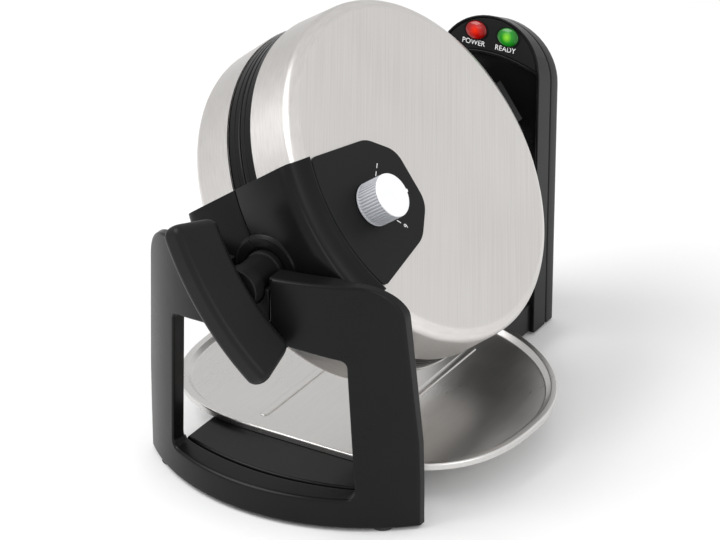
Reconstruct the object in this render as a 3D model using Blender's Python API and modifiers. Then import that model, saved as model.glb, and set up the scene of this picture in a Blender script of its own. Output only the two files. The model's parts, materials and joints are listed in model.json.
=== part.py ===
"""A rotary waffle maker: two hinged steel halves that turn over on a base, with a drip tray below.

World frame: +Z up, -Y the front, the origin on the table under the middle of the whole thing.
The cooking disc is modelled in its own frame, X across, Y along the flip axis and Z square to
the plates, and an empty on the flip axis tilts it all into place. Dimensions along Y are from
the middle of the disc.
"""
from math import acos, asin, cos, pi, radians, sin, sqrt, tan

import bpy
import bmesh
from mathutils import Matrix, Vector

# ---------------------------------------------------------------- driving dimensions, metres
GAP = 0.0003                 # air between two pieces that touch
STEPS = 64                   # sides of a large turned piece
SMALL_STEPS = 24             # sides of a shaft, pin or lens

DISC_OFFSET = 0.0070         # middle of the disc, behind the middle of the whole thing
DISC_TILT = radians(54.4)    # how far the disc is turned over from upright
AXIS_HEIGHT = 0.162          # flip axis above the table

SHELL_RADIUS = 0.1166        # steel cover, at its open edge
SHOULDER_RADIUS = 0.1153     # where its wall turns over
FACE_RADIUS = 0.1075         # its flat face
FACE_HEIGHT = 0.0458         # face, above the plane where the halves meet
SHOULDER_HEIGHT = 0.0408
BEZEL_HEIGHT = 0.0106        # black band on each half
BEZEL_INSET = 0.0010
SHEET = 0.0012               # steel cover thickness

PLATE_RADIUS = 0.1010        # cast grid plate
PLATE_BACK = 0.0165          # back of a grid plate, above the meeting plane
PLATE_FLOOR = 0.0128         # floor of its cooking well
WELL_RADIUS = 0.0880
PEG_PITCH = 0.0185           # spacing of the waffle pegs
PEG_WIDTH = 0.0110
PEG_TOP = 0.0026             # peg tips stop this far from the meeting plane
HEATER_RADIUS = 0.0680
HEATER_TUBE = 0.0032
PAN_SHEET = 0.0008

NOSE_GAP = 0.0005            # between the nose and the steel it wraps
NOSE_RADIUS = 0.1274         # front of the black nose on each half
NOSE_HALF_WIDTH = 0.0510     # at its front
NOSE_BACK_HALF_WIDTH = 0.0360  # where its side lines reach PANEL_SHOULDER
NOSE_LIP_RADIUS = 0.1052     # inner edge of the nose, on the face
PANEL_SHOULDER = -0.0396
PANEL_REAR = -0.0190
PANEL_CORNER = 0.0190
PANEL_THICKNESS = 0.0014

KNOB_Y = -0.0665
KNOB_RADIUS = 0.0143
KNOB_HEIGHT = 0.0180
SPINDLE_RADIUS = 0.0030

SHAFT_RADIUS = 0.0130        # hollow front stub shaft
SHAFT_TIP_RADIUS = 0.0080    # its end inside the handle
COLLAR_RADIUS = 0.0210
COLLAR_FRONT = -0.1286

HANDLE_CENTRE = -0.0220      # the handle bows round this point on the axis
HANDLE_INNER = 0.1390
HANDLE_OUTER = 0.1730
HANDLE_HALF_LENGTH = 0.0545
HANDLE_REAR_HALF = 0.0118    # half thickness at the back
HANDLE_FRONT_HALF = 0.0068   # half thickness at the front

STAND_RADIUS = 0.1411        # outer face of the front stand
STAND_CENTRE = -0.0117
STAND_END_ANGLE = radians(43.5)
STAND_END_HALF = 0.0997      # half width at the inner end corner
STAND_END_Y = -0.1045
STAND_INNER_MIDDLE = -0.1360
STAND_TOP = 0.1706
STAND_SHOULDER = 0.0270      # radius of its top corners
STAND_SHOULDER_X = 0.0655
STAND_SHOULDER_Z = 0.1436
WINDOW_SILL = 0.0220
WINDOW_SIDE_TOP = 0.1190
WINDOW_CROWN = 0.1285
WINDOW_HALF_TOP = 0.0625
WINDOW_HALF_SILL = 0.0670
NOTCH_HALF = 0.0165
NOTCH_FLOOR = 0.1405
RELIEF_X = 0.0640            # the shoulders are thinned beyond this, where the nose swings by
RELIEF_LOW = (-0.1150, 0.1530)
RELIEF_TOP = (-0.1232, 0.1720)

COLUMN_HALF = 0.0385
COLUMN_FRONT = 0.1475
COLUMN_SPLIT = 0.1640        # joint between the column and its back cover
COLUMN_BACK = 0.1790
COLUMN_TOP = AXIS_HEIGHT + 0.0670    # at its front
COLUMN_FALL = 0.45           # how far the arch drops for each metre of depth behind that
COLUMN_WALL = 0.0030
COLUMN_RECESS = 0.0025       # depth of the panel sunk into its front
COLUMN_RIM = 0.0045          # width of the rim round that panel
COLUMN_ROUND = 0.0050        # radius of the back cover's rear edge
PANEL_LOW = AXIS_HEIGHT + 0.0350     # lower edge of the slanted lamp face
LAMP_SLANT = radians(15)
LAMP_X = 0.0120
LAMP_Z = PANEL_LOW + 0.0155
LAMP_RADIUS = 0.0062

FOOT_HEIGHT = 0.0020         # how far the rubber feet stand out
FOOT_RADIUS = 0.0075
FOOT_DEPTH = 0.0035

BASE_TOP = 0.0246
BASE_FRONT = -0.1180
BASE_WAIST = 0.0600          # its plan narrows between this far in front and behind
BASE_FRONT_HALF = 0.0640
BASE_REAR_HALF = 0.0360
BASE_WALL = 0.0030

TRAY_HALF = 0.1235
TRAY_FRONT = -0.0985         # where its front is cut off straight
TRAY_BOW = 0.1015            # how far its front curve would reach otherwise
TRAY_FULLNESS = 2.8          # 2 would make that curve an ellipse
TRAY_BACK = 0.1077
TRAY_LOW = 0.0250
TRAY_RIM = 0.0294
TRAY_SHEET = 0.0012
TRAY_RIM_WIDTH = 0.0060

HINGE_Y = 0.1225             # lid hinge pin, in the disc's frame
HINGE_Z = 0.0225
PIN_RADIUS = 0.0025
EYE_RADIUS = 0.0045
EAR_INNER = 0.0150
EAR_OUTER = 0.0240
HINGE_BACK = 0.1400
REAR_SHAFT_RADIUS = 0.0090
REAR_SHAFT_BORE = 0.0055
REAR_SHAFT_END = 0.1740


# ---------------------------------------------------------------- scene and helpers
for old in list(bpy.data.objects):
    bpy.data.objects.remove(old)

parts = bpy.data.collections.new("rotary_waffle_maker")
cutters = bpy.data.collections.new("cutters")
bpy.context.scene.collection.children.link(parts)
bpy.context.scene.collection.children.link(cutters)


def material(name, colour, roughness, metallic=0.0):
    made = bpy.data.materials.new(name)
    made.use_nodes = True
    shader = made.node_tree.nodes["Principled BSDF"]
    shader.inputs["Base Color"].default_value = (*colour, 1)
    shader.inputs["Roughness"].default_value = roughness
    shader.inputs["Metallic"].default_value = metallic
    return made


STEEL = ((0.66, 0.65, 0.63), 0.32, 1.0)
BLACK = ((0.018, 0.018, 0.019), 0.30, 0.0)
SOFT_BLACK = ((0.035, 0.035, 0.036), 0.45, 0.0)
PANEL_GREY = ((0.055, 0.055, 0.056), 0.55, 0.0)
RUBBER = ((0.02, 0.02, 0.02), 0.85, 0.0)
CAST = ((0.05, 0.05, 0.055), 0.50, 0.4)
BRIGHT = ((0.70, 0.70, 0.70), 0.25, 1.0)
KNOB_SILVER = ((0.82, 0.83, 0.84), 0.30, 0.3)
BRASS = ((0.72, 0.55, 0.25), 0.30, 1.0)
BOARD = ((0.05, 0.22, 0.08), 0.60, 0.0)
CERAMIC = ((0.85, 0.82, 0.75), 0.60, 0.0)
RED = ((0.60, 0.01, 0.01), 0.15, 0.0)
GREEN = ((0.02, 0.45, 0.05), 0.15, 0.0)


def empty(name, location, rotation=(0, 0, 0), parent=None):
    made = bpy.data.objects.new(name, None)
    made.location = location
    made.rotation_euler = rotation
    made.parent = parent
    bpy.context.scene.collection.objects.link(made)
    return made


def keep(thing, name, finish=None, parent=None, collection=parts):
    """Name an object, put it in a collection and give it its material."""
    thing.name = name
    for holder in list(thing.users_collection):
        holder.objects.unlink(thing)
    collection.objects.link(thing)
    thing.parent = parent
    if finish is not None:
        thing.data.materials.clear()
        thing.data.materials.append(material(name, *finish))
    return thing


def shade(thing, angle=40):
    thing.data.shade_smooth()
    thing.data.set_sharp_from_angle(angle=radians(angle))
    return thing


def box(low, high):
    """A box between two corners, its size in its mesh."""
    low, high = Vector(low), Vector(high)
    bpy.ops.mesh.primitive_cube_add(size=1)
    made = bpy.context.object
    made.data.transform(Matrix.Translation((low + high) / 2) @ Matrix.Diagonal((*(high - low), 1)))
    return made


AXES = {"x": Matrix.Rotation(pi / 2, 4, "Y"), "y": Matrix.Rotation(-pi / 2, 4, "X"), "z": Matrix()}


def rod(radius, start, end, axis, centre=(0, 0), sides=SMALL_STEPS):
    """A cylinder along x, y or z from start to end, centred on the two other coordinates."""
    bpy.ops.mesh.primitive_cylinder_add(vertices=sides, radius=radius, depth=end - start)
    made = bpy.context.object
    middle = (start + end) / 2
    places = {"x": (middle, *centre), "y": (centre[0], middle, centre[1]), "z": (*centre, middle)}
    made.data.transform(Matrix.Translation(places[axis]) @ AXES[axis])
    return made


def turned(profile, steps=STEPS, closed=False, axis="z", centre=(0, 0)):
    """Turn a profile of (radius, height), outer side down, about an axis with a Screw modifier."""
    mesh = bpy.data.meshes.new("profile")
    edges = [(i, i + 1) for i in range(len(profile) - 1)]
    if closed:
        edges.append((len(profile) - 1, 0))
    mesh.from_pydata([(r, 0, z) for r, z in profile], edges, [])
    made = bpy.data.objects.new("turned", mesh)
    bpy.context.scene.collection.objects.link(made)
    screw = made.modifiers.new("Turn", "SCREW")
    screw.steps = screw.render_steps = steps
    screw.use_merge_vertices = True
    screw.merge_threshold = 0.00001
    solid = as_mesh(made)
    places = {"x": (0, *centre), "y": (centre[0], 0, centre[1]), "z": (*centre, 0)}
    solid.data.transform(Matrix.Translation(places[axis]) @ AXES[axis])
    return solid


def as_mesh(thing, weld=0.00001):
    """An object's evaluated shape as a plain mesh object, its doubles merged."""
    graph = bpy.context.evaluated_depsgraph_get()
    graph.update()
    mesh = bpy.data.meshes.new_from_object(thing.evaluated_get(graph))
    work = bmesh.new()
    work.from_mesh(mesh)
    bmesh.ops.remove_doubles(work, verts=work.verts, dist=weld)
    bmesh.ops.dissolve_degenerate(work, edges=work.edges, dist=weld / 10)
    bmesh.ops.recalc_face_normals(work, faces=work.faces)
    work.to_mesh(mesh)
    work.free()
    made = bpy.data.objects.new("solid", mesh)
    made.matrix_world = thing.matrix_world
    bpy.context.scene.collection.objects.link(made)
    bpy.data.objects.remove(thing)
    return made


def slab(outline, low, high, axis="z"):
    """A flat outline, given as two coordinates, made solid between low and high along an axis."""
    curve = bpy.data.curves.new("outline", "CURVE")
    curve.dimensions = "2D"
    curve.fill_mode = "BOTH"
    curve.extrude = (high - low) / 2
    line = curve.splines.new("POLY")
    line.points.add(len(outline) - 1)
    for point, (u, v) in zip(line.points, outline):
        point.co = (u, v, 0, 1)
    line.use_cyclic_u = True
    made = bpy.data.objects.new("slab", curve)
    bpy.context.scene.collection.objects.link(made)
    solid = as_mesh(made)
    turns = {
        "z": Matrix(),
        "y": Matrix(((1, 0, 0, 0), (0, 0, 1, 0), (0, 1, 0, 0), (0, 0, 0, 1))),
        "x": Matrix(((0, 0, 1, 0), (1, 0, 0, 0), (0, 1, 0, 0), (0, 0, 0, 1))),
    }
    solid.data.transform(turns[axis] @ Matrix.Translation((0, 0, (low + high) / 2)))
    if axis == "y":
        solid.data.flip_normals()
    return solid


def boolean(thing, tool, operation):
    """Cut, join or cross a piece with a tool, which stays on as a wire-frame guide."""
    keep(tool, f"{thing.name}_tool", parent=thing.parent, collection=cutters)
    tool.hide_render = True
    tool.display_type = "WIRE"
    step = thing.modifiers.new(operation.title(), "BOOLEAN")
    step.operation = operation
    step.object = tool
    step.solver = "EXACT"
    return thing


def cut(thing, *tools):
    for tool in tools:
        boolean(thing, tool, "DIFFERENCE")
    return thing


def join(thing, *tools):
    for tool in tools:
        boolean(thing, tool, "UNION")
    return thing


def arc(centre, radius, start, end, count):
    """Points of a round stretch, angles in radians from +X."""
    steps = [start + (end - start) * i / count for i in range(count + 1)]
    return [(centre[0] + radius * cos(a), centre[1] + radius * sin(a)) for a in steps]


def bevel(thing, width, segments=1, angle=35):
    step = thing.modifiers.new("Rounded edges", "BEVEL")
    step.width = width
    step.segments = segments
    step.limit_method = "ANGLE"
    step.angle_limit = radians(angle)
    step.use_clamp_overlap = True
    return thing


# ---------------------------------------------------------------- joints' frames
ground = empty("base_frame_origin", (0, DISC_OFFSET, 0))
flip = empty("flip_axis", (0, 0, AXIS_HEIGHT), (0, DISC_TILT, 0), ground)
lower_frame = empty("lower_frame", (0, 0, 0), (0, pi, 0), flip)
lid_frame = empty("lid_frame", (0, 0, 0), (0, 0, 0), flip)


# ---------------------------------------------------------------- the two halves
def cover_profile(offset=0.0):
    """The steel cover's outer line, top to edge, moved inwards by offset."""
    lean = asin((SHELL_RADIUS - SHOULDER_RADIUS) / (SHOULDER_HEIGHT - BEZEL_HEIGHT))
    roll_r = SHOULDER_RADIUS - FACE_RADIUS
    roll_z = FACE_HEIGHT - SHOULDER_HEIGHT
    roll = [
        (FACE_RADIUS + (roll_r - offset) * sin(a), SHOULDER_HEIGHT + (roll_z - offset) * cos(a))
        for a in (0, pi / 6, pi / 3, pi / 2 - lean)
    ]
    return [(0, FACE_HEIGHT - offset), *roll, (SHELL_RADIUS - offset, BEZEL_HEIGHT + GAP / 2)]


def half_cover(name, frame):
    outside = cover_profile()
    inside = cover_profile(SHEET)
    return shade(keep(turned(outside + inside[::-1]), name, STEEL, frame))


def half_bezel(name, frame):
    outer = SHELL_RADIUS - BEZEL_INSET
    inner = PLATE_RADIUS + GAP
    lip = SHELL_RADIUS - SHEET - GAP
    top = BEZEL_HEIGHT - GAP / 2
    ring = [
        (lip - 0.004, top + 0.010), (lip - 0.0006, top + 0.010), (lip - 0.0006, top),
        (outer, top), (outer, GAP / 2), (inner, GAP / 2), (inner, top), (lip - 0.004, top),
    ]
    return shade(keep(turned(ring, closed=True), name, BLACK, frame))


def peg_places():
    """Centres of the square lattice that lie inside the cooking well."""
    reach = int(WELL_RADIUS / PEG_PITCH) + 1
    lattice = [((i + 0.5) * PEG_PITCH, (j + 0.5) * PEG_PITCH)
               for i in range(-reach, reach) for j in range(-reach, reach)]
    most = WELL_RADIUS - PEG_WIDTH * 0.75
    return [(x, y) for x, y in lattice if sqrt(x * x + y * y) < most]


def pegs():
    """Blunt four-sided pegs, which press the squares into a waffle."""
    work = bmesh.new()
    for x, y in peg_places():
        height = PLATE_FLOOR + 0.001 - PEG_TOP
        place = Matrix.Translation((x, y, PEG_TOP + height / 2)) @ Matrix.Rotation(pi / 4, 4, "Z")
        bmesh.ops.create_cone(work, cap_ends=True, segments=4, radius1=PEG_WIDTH * 0.5,
                              radius2=PEG_WIDTH * 0.74, depth=height, matrix=place)
    mesh = bpy.data.meshes.new("pegs")
    work.to_mesh(mesh)
    work.free()
    made = bpy.data.objects.new("pegs", mesh)
    bpy.context.scene.collection.objects.link(made)
    return made


def grid_plate(name, frame):
    face = 0.0006
    profile = [
        (0, PLATE_BACK), (PLATE_RADIUS, PLATE_BACK), (PLATE_RADIUS, face),
        (WELL_RADIUS + 0.004, face), (WELL_RADIUS, PLATE_FLOOR), (0, PLATE_FLOOR),
    ]
    return join(keep(turned(profile), name, CAST, frame), pegs())


def heater(name, frame):
    """A tubular element bent to a ring, its two cold ends turned out towards the front."""
    z = PLATE_BACK + GAP + HEATER_TUBE
    half_gap = radians(14)
    ring = arc((0, 0), HEATER_RADIUS, -pi / 2 + half_gap, 3 * pi / 2 - half_gap, 30)
    end_x = HEATER_RADIUS * sin(half_gap)
    legs = [0.078, 0.084]
    path = [(end_x, -y) for y in reversed(legs)] + ring + [(-end_x, -y) for y in legs]
    curve = bpy.data.curves.new(name, "CURVE")
    curve.dimensions = "3D"
    curve.bevel_depth = HEATER_TUBE
    curve.bevel_resolution = 1
    curve.use_fill_caps = True
    line = curve.splines.new("POLY")
    line.points.add(len(path) - 1)
    for point, (x, y) in zip(line.points, path):
        point.co = (x, y, z, 1)
    made = bpy.data.objects.new(name, curve)
    bpy.context.scene.collection.objects.link(made)
    return shade(keep(as_mesh(made), name, BRIGHT, frame))


PAN_BACK = PLATE_BACK + 2 * HEATER_TUBE + 0.0030


def reflector(name, frame):
    """A thin steel dish that keeps the heat on the plate and off the cover."""
    rim = PLATE_BACK + GAP
    outer = PLATE_RADIUS - 0.001
    top = PAN_BACK + PAN_SHEET
    line = [
        (0, top), (outer - 0.012, top), (outer, rim + PAN_SHEET), (outer, rim),
        (outer - PAN_SHEET, rim), (outer - 0.0125, PAN_BACK), (0, PAN_BACK),
    ]
    return shade(keep(turned(line), name, BRIGHT, frame))


def nose_half_width(y):
    """Half the width of the nose and panel where their straight sides pass y."""
    front = -sqrt(NOSE_RADIUS ** 2 - NOSE_HALF_WIDTH ** 2)
    share = (y - front) / (PANEL_SHOULDER - front)
    return NOSE_HALF_WIDTH + (NOSE_BACK_HALF_WIDTH - NOSE_HALF_WIDTH) * share


def nose(name, frame):
    """The black moulding round the front of one half, with half of the shaft's collar."""
    clear = SHELL_RADIUS + NOSE_GAP
    lip = FACE_HEIGHT + NOSE_GAP
    ring = [
        (NOSE_LIP_RADIUS, lip + 0.0008), (NOSE_LIP_RADIUS + 0.007, lip - 0.0004),
        (NOSE_LIP_RADIUS + 0.014, lip - 0.0025), (NOSE_RADIUS - 0.005, lip - 0.0036),
        (NOSE_RADIUS - 0.0012, lip - 0.0065), (NOSE_RADIUS, lip - 0.0110),
        (NOSE_RADIUS, GAP / 2), (clear, GAP / 2), *cover_profile(-NOSE_GAP)[:0:-1],
        (NOSE_LIP_RADIUS, lip),
    ]
    made = shade(keep(turned(ring, closed=True, steps=96), name, BLACK, frame), 25)
    near, far = -0.095, -0.135
    sides = [
        (nose_half_width(far), far), (nose_half_width(near), near),
        (-nose_half_width(near), near), (-nose_half_width(far), far),
    ]
    boolean(made, slab(sides, -0.01, 0.06), "INTERSECT")
    collar = rod(COLLAR_RADIUS, COLLAR_FRONT, -(clear + 0.003), "y", sides=32)
    cut(collar, box((-0.05, -0.2, -0.05), (0.05, 0, GAP / 2)))
    join(made, as_mesh(collar))
    return cut(made, rod(SHAFT_RADIUS + GAP, -0.14, -0.10, "y", sides=32))


def panel_outline(shrink=0.0):
    """The control panel: an arc in front, straight sides and a rounded rear."""
    front = NOSE_LIP_RADIUS - GAP - shrink
    corner = PANEL_CORNER
    side = nose_half_width(PANEL_SHOULDER) - shrink
    lean = (nose_half_width(-0.09) - nose_half_width(PANEL_SHOULDER)) / (0.09 + PANEL_SHOULDER)
    lean = asin(lean)
    mid_y = PANEL_REAR - shrink - corner
    mid_x = side - corner
    rear = arc((mid_x, mid_y), corner, -lean, pi / 2, 7)
    edge = nose_half_width(-0.0905) - shrink
    reach = asin((edge - 0.004) / front)
    bow = arc((0, 0), front, -pi / 2, -pi / 2 + reach, 10)
    right = bow[1:] + [(edge - 0.0004, bow[-1][1] + 0.0045)] + rear
    left = [(-x, y) for x, y in reversed(right)]
    return [bow[0]] + right + left


def control_panel():
    low = FACE_HEIGHT + GAP
    made = keep(slab(panel_outline(), low, low + PANEL_THICKNESS), "control_panel", PANEL_GREY, lid_frame)
    return cut(made, rod(SPINDLE_RADIUS + 0.0008, low - 0.01, low + 0.01, "z", (0, KNOB_Y)))


PANEL_FACE = FACE_HEIGHT + GAP + PANEL_THICKNESS

for side, frame in (("lower", lower_frame), ("lid", lid_frame)):
    half_cover(f"{side}_cover", frame)
    half_bezel(f"{side}_bezel", frame)
    grid_plate(f"{side}_grid_plate", frame)
    heater(f"{side}_heater", frame)
    reflector(f"{side}_reflector", frame)
    nose(f"{side}_nose", frame)

control_panel()
for name in ("lid_cover", "lid_reflector"):
    hole = rod(SPINDLE_RADIUS + 0.0008, 0.020, 0.060, "z", (0, KNOB_Y))
    cut(bpy.data.objects[name], hole)


# ---------------------------------------------------------------- thermostat and knob
THERMOSTAT_LOW = PAN_BACK + PAN_SHEET + GAP
THERMOSTAT_TOP = THERMOSTAT_LOW + 0.0110
PIN_TRAVEL = 0.0010


def thermostat():
    """A frame with a slot, in which a ceramic pin moves the switch contact."""
    half_x, half_y = 0.0130, 0.0080
    made = keep(box((-half_x, KNOB_Y - half_y, THERMOSTAT_LOW), (half_x, KNOB_Y + half_y, THERMOSTAT_TOP)),
                "thermostat", CERAMIC, lid_frame)
    slot_low, slot_top = THERMOSTAT_LOW + 0.0020, THERMOSTAT_TOP - 0.0020
    slot = box((-0.008, KNOB_Y - 0.02, slot_low), (0.008, KNOB_Y + 0.02, slot_top))
    bevel(made, 0.0006)
    return cut(made, slot)


thermostat()
pin_low = THERMOSTAT_LOW + 0.0020 + GAP
pin_top = THERMOSTAT_TOP - 0.0020 - GAP - PIN_TRAVEL
pin = keep(rod(0.0025, pin_low, pin_top, "z", (0, KNOB_Y), 16), "thermostat_pin", CERAMIC, lid_frame)
shade(pin)

knob_frame = empty("knob_axis", (0, KNOB_Y, 0), (0, 0, 0), lid_frame)


def browning_knob():
    low = PANEL_FACE + 2 * GAP
    top = low + KNOB_HEIGHT
    bore = SPINDLE_RADIUS + GAP
    line = [
        (0, top), (KNOB_RADIUS - 0.0016, top), (KNOB_RADIUS - 0.0006, top - 0.0007),
        (KNOB_RADIUS, low), (bore, low), (bore, top - 0.006), (0, top - 0.006),
    ]
    return shade(keep(turned(line, steps=48), "browning_knob", KNOB_SILVER, knob_frame))


browning_knob()
knob_seat = PANEL_FACE + 2 * GAP + KNOB_HEIGHT - 0.006 - GAP
shade(keep(rod(SPINDLE_RADIUS, THERMOSTAT_TOP + GAP, knob_seat, "z"), "knob_spindle", BRASS, knob_frame))


# ---------------------------------------------------------------- front shaft and handle
SHAFT_ROOT = -(SHELL_RADIUS + 2 * GAP)
HANDLE_REAR = HANDLE_CENTRE - HANDLE_INNER
SHAFT_STEP = HANDLE_CENTRE - sqrt(HANDLE_INNER ** 2 - SHAFT_RADIUS ** 2) + 2 * GAP
SHAFT_TIP = HANDLE_REAR - 0.0150


def front_shaft():
    line = [
        (0, SHAFT_ROOT), (SHAFT_RADIUS, SHAFT_ROOT), (SHAFT_RADIUS, SHAFT_STEP),
        (SHAFT_TIP_RADIUS, SHAFT_STEP), (SHAFT_TIP_RADIUS, SHAFT_TIP), (0, SHAFT_TIP),
    ]
    return shade(keep(turned(line, steps=32, axis="y"), "front_shaft", SOFT_BLACK, lower_frame))


def handle():
    """A bowed grip, thinner in front, with rounded ends and a socket for the shaft."""
    rear, front = HANDLE_INNER, HANDLE_OUTER
    back, thin = HANDLE_REAR_HALF, HANDLE_FRONT_HALF
    ring = [
        (rear + 0.003, back), (front - 0.004, thin + 0.0006), (front - 0.001, thin - 0.0016),
        (front, thin - 0.005), (front, 0.005 - thin), (front - 0.001, 0.0016 - thin),
        (front - 0.004, -thin - 0.0006), (rear + 0.003, -back), (rear, 0.004 - back), (rear, back - 0.004),
    ]
    made = keep(turned(ring, closed=True, steps=96, centre=(0, HANDLE_CENTRE)), "handle", SOFT_BLACK, lower_frame)
    half, corner = HANDLE_HALF_LENGTH, 0.008
    low, high = HANDLE_CENTRE - front - 0.0005, HANDLE_CENTRE - rear + 0.0110
    ends = (arc((half - corner, low + corner + 0.008), corner, -pi / 2, 0, 4)
            + arc((half - corner / 2, high - corner / 2), corner / 2, 0, pi / 2, 2)
            + arc((corner / 2 - half, high - corner / 2), corner / 2, pi / 2, pi, 2)
            + arc((corner - half, low + corner + 0.008), corner, pi, 3 * pi / 2, 4)
            + [(0.6 * corner - half + 0.010, low), (half - 0.6 * corner - 0.010, low)])
    boolean(made, slab(ends, -0.03, 0.03), "INTERSECT")
    bore = rod(SHAFT_TIP_RADIUS + GAP, SHAFT_TIP - GAP, 0.02 + HANDLE_REAR, "y", sides=32)
    return shade(cut(made, bore), 30)


front_shaft()
handle()


# ---------------------------------------------------------------- rear hinge
def hinge_bracket():
    """Fixed to the lower half: a block on the rear shaft, with two ears that carry the pin."""
    wall = SHELL_RADIUS + 2 * GAP
    foot = 0.0340
    made = keep(box((-EAR_OUTER, wall, -foot), (EAR_OUTER, HINGE_BACK, -0.0120)),
                "hinge_bracket", BLACK, lid_frame)
    web = box((-EAR_OUTER, HINGE_Y + 0.006, -0.020), (EAR_OUTER, HINGE_BACK, 0.0100))
    ears = []
    for side in (-1, 1):
        inner, outer = sorted((side * EAR_INNER, side * EAR_OUTER))
        ears.append(box((inner, HINGE_Y - EYE_RADIUS, 0.002), (outer, HINGE_BACK, HINGE_Z)))
        ears.append(rod(EYE_RADIUS, inner, outer, "x", (HINGE_Y, HINGE_Z)))
    join(made, web, *ears)
    cut(made, rod(PIN_RADIUS + GAP, -0.05, 0.05, "x", (HINGE_Y, HINGE_Z)))
    return cut(made, rod(REAR_SHAFT_RADIUS + GAP, HINGE_Y + 0.010, 0.2, "y", sides=32))


def lid_arm():
    """Fixed to the lid's rear wall, with the eye that turns on the pin."""
    wall = SHELL_RADIUS + 2 * GAP
    half = EAR_INNER - 2 * GAP
    made = keep(box((-half, wall, 0.0150), (half, HINGE_Y + 0.0030, 0.0370)), "lid_arm", BLACK, lid_frame)
    join(made, rod(EYE_RADIUS, -half, half, "x", (HINGE_Y, HINGE_Z)))
    return cut(made, rod(PIN_RADIUS + GAP, -0.05, 0.05, "x", (HINGE_Y, HINGE_Z)))


hinge_bracket()
lid_arm()
shade(keep(rod(PIN_RADIUS, -EAR_OUTER - 0.001, EAR_OUTER + 0.001, "x", (HINGE_Y, HINGE_Z)),
           "hinge_pin", BRIGHT, lid_frame))


def rear_shaft():
    start = HINGE_Y + 0.010 + GAP
    tube = [
        (REAR_SHAFT_BORE, start), (REAR_SHAFT_RADIUS, start), (REAR_SHAFT_RADIUS, REAR_SHAFT_END),
        (REAR_SHAFT_BORE, REAR_SHAFT_END),
    ]
    return shade(keep(turned(tube, closed=True, steps=32, axis="y"), "rear_shaft", BRIGHT, lid_frame))


rear_shaft()


# ---------------------------------------------------------------- front stand
def stand_plan():
    """Seen from above: an outer and an inner arc, joined at the two ends."""
    outer = arc((0, STAND_CENTRE), STAND_RADIUS, -pi / 2 - STAND_END_ANGLE, -pi / 2 + STAND_END_ANGLE, 32)
    rise = STAND_END_Y - STAND_INNER_MIDDLE
    radius = (STAND_END_HALF ** 2 + rise ** 2) / (2 * rise)
    centre = STAND_INNER_MIDDLE + radius
    sweep = asin(STAND_END_HALF / radius)
    return outer + arc((0, centre), radius, -pi / 2 + sweep, -pi / 2 - sweep, 32)


def stand_front():
    """Seen from the front: straight sides that lean in above the window sill, round shoulders."""
    lean = radians(3)
    right = [(STAND_END_HALF + 0.001, FOOT_HEIGHT), (STAND_END_HALF - 0.0005, 0.060)]
    right += arc((STAND_SHOULDER_X, STAND_SHOULDER_Z), STAND_SHOULDER, lean, pi / 2, 8)
    return right + [(-x, z) for x, z in reversed(right)]


def window():
    """The opening in the stand, with an arched head and small round corners."""
    corner = 0.0040
    half_chord = WINDOW_HALF_TOP - corner
    rise = WINDOW_CROWN - WINDOW_SIDE_TOP
    radius = (half_chord ** 2 + rise ** 2) / (2 * rise)
    sweep = asin(half_chord / radius)
    head = arc((0, WINDOW_CROWN - radius), radius, pi / 2 - sweep, pi / 2 + sweep, 12)
    right = arc((WINDOW_HALF_SILL - corner, WINDOW_SILL + corner), corner, -pi / 2, 0, 4)
    right.append((WINDOW_HALF_TOP, WINDOW_SIDE_TOP - corner))
    left = [(-x, z) for x, z in reversed(right)]
    return slab(right + head + left, -0.2, -0.08, "y")


def front_stand():
    made = keep(slab(stand_plan(), FOOT_HEIGHT, STAND_TOP), "front_stand", BLACK, ground)
    boolean(made, slab(stand_front(), -0.2, -0.08, "y"), "INTERSECT")
    cut(made, window())
    cut(made, box((-NOTCH_HALF, -0.2, NOTCH_FLOOR), (NOTCH_HALF, -0.08, 0.2)))
    back = -0.08
    wedge = [RELIEF_LOW, (back, RELIEF_LOW[1]), (back, RELIEF_TOP[1]), RELIEF_TOP]
    for side in (-1, 1):
        near, far = sorted((side * RELIEF_X, side * 2 * RELIEF_X))
        cut(made, slab(wedge, near, far, "x"))
        cut(made, foot_pocket(side * FOOT_X_FRONT, FOOT_Y_FRONT))
    return shade(made, 30)


def bearing_saddle():
    """A block in the stand's notch, in whose round seat the front shaft turns."""
    half = NOTCH_HALF - GAP
    low = NOTCH_FLOOR + GAP
    made = keep(box((-half, STAND_CENTRE - STAND_RADIUS + 0.0012, low), (half, STAND_INNER_MIDDLE, AXIS_HEIGHT)),
                "bearing_saddle", SOFT_BLACK, ground)
    bevel(made, 0.0008)
    return cut(made, rod(SHAFT_RADIUS + GAP, -0.2, -0.1, "y", (0, AXIS_HEIGHT), 32))


FOOT_X_FRONT = 0.0780
FOOT_Y_FRONT = -0.1195
FOOT_X_REAR = 0.0270
FOOT_Y_REAR = 0.1560


def foot_pocket(x, y):
    top = FOOT_DEPTH + GAP
    return rod(FOOT_RADIUS + GAP, -0.01, top, "z", (x, y))


def foot(name, x, y):
    rise = FOOT_HEIGHT * 0.5
    line = [
        (0, FOOT_DEPTH), (FOOT_RADIUS, FOOT_DEPTH), (FOOT_RADIUS, rise * 0.6),
        (FOOT_RADIUS - rise * 0.6, 0), (0, 0),
    ]
    return shade(keep(turned(line, steps=20, centre=(x, y)), name, RUBBER, ground), 30)


front_stand()
bearing_saddle()
for side, label in ((-1, "left"), (1, "right")):
    foot(f"foot_front_{label}", side * FOOT_X_FRONT, FOOT_Y_FRONT)
    foot(f"foot_rear_{label}", side * FOOT_X_REAR, FOOT_Y_REAR)


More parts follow.
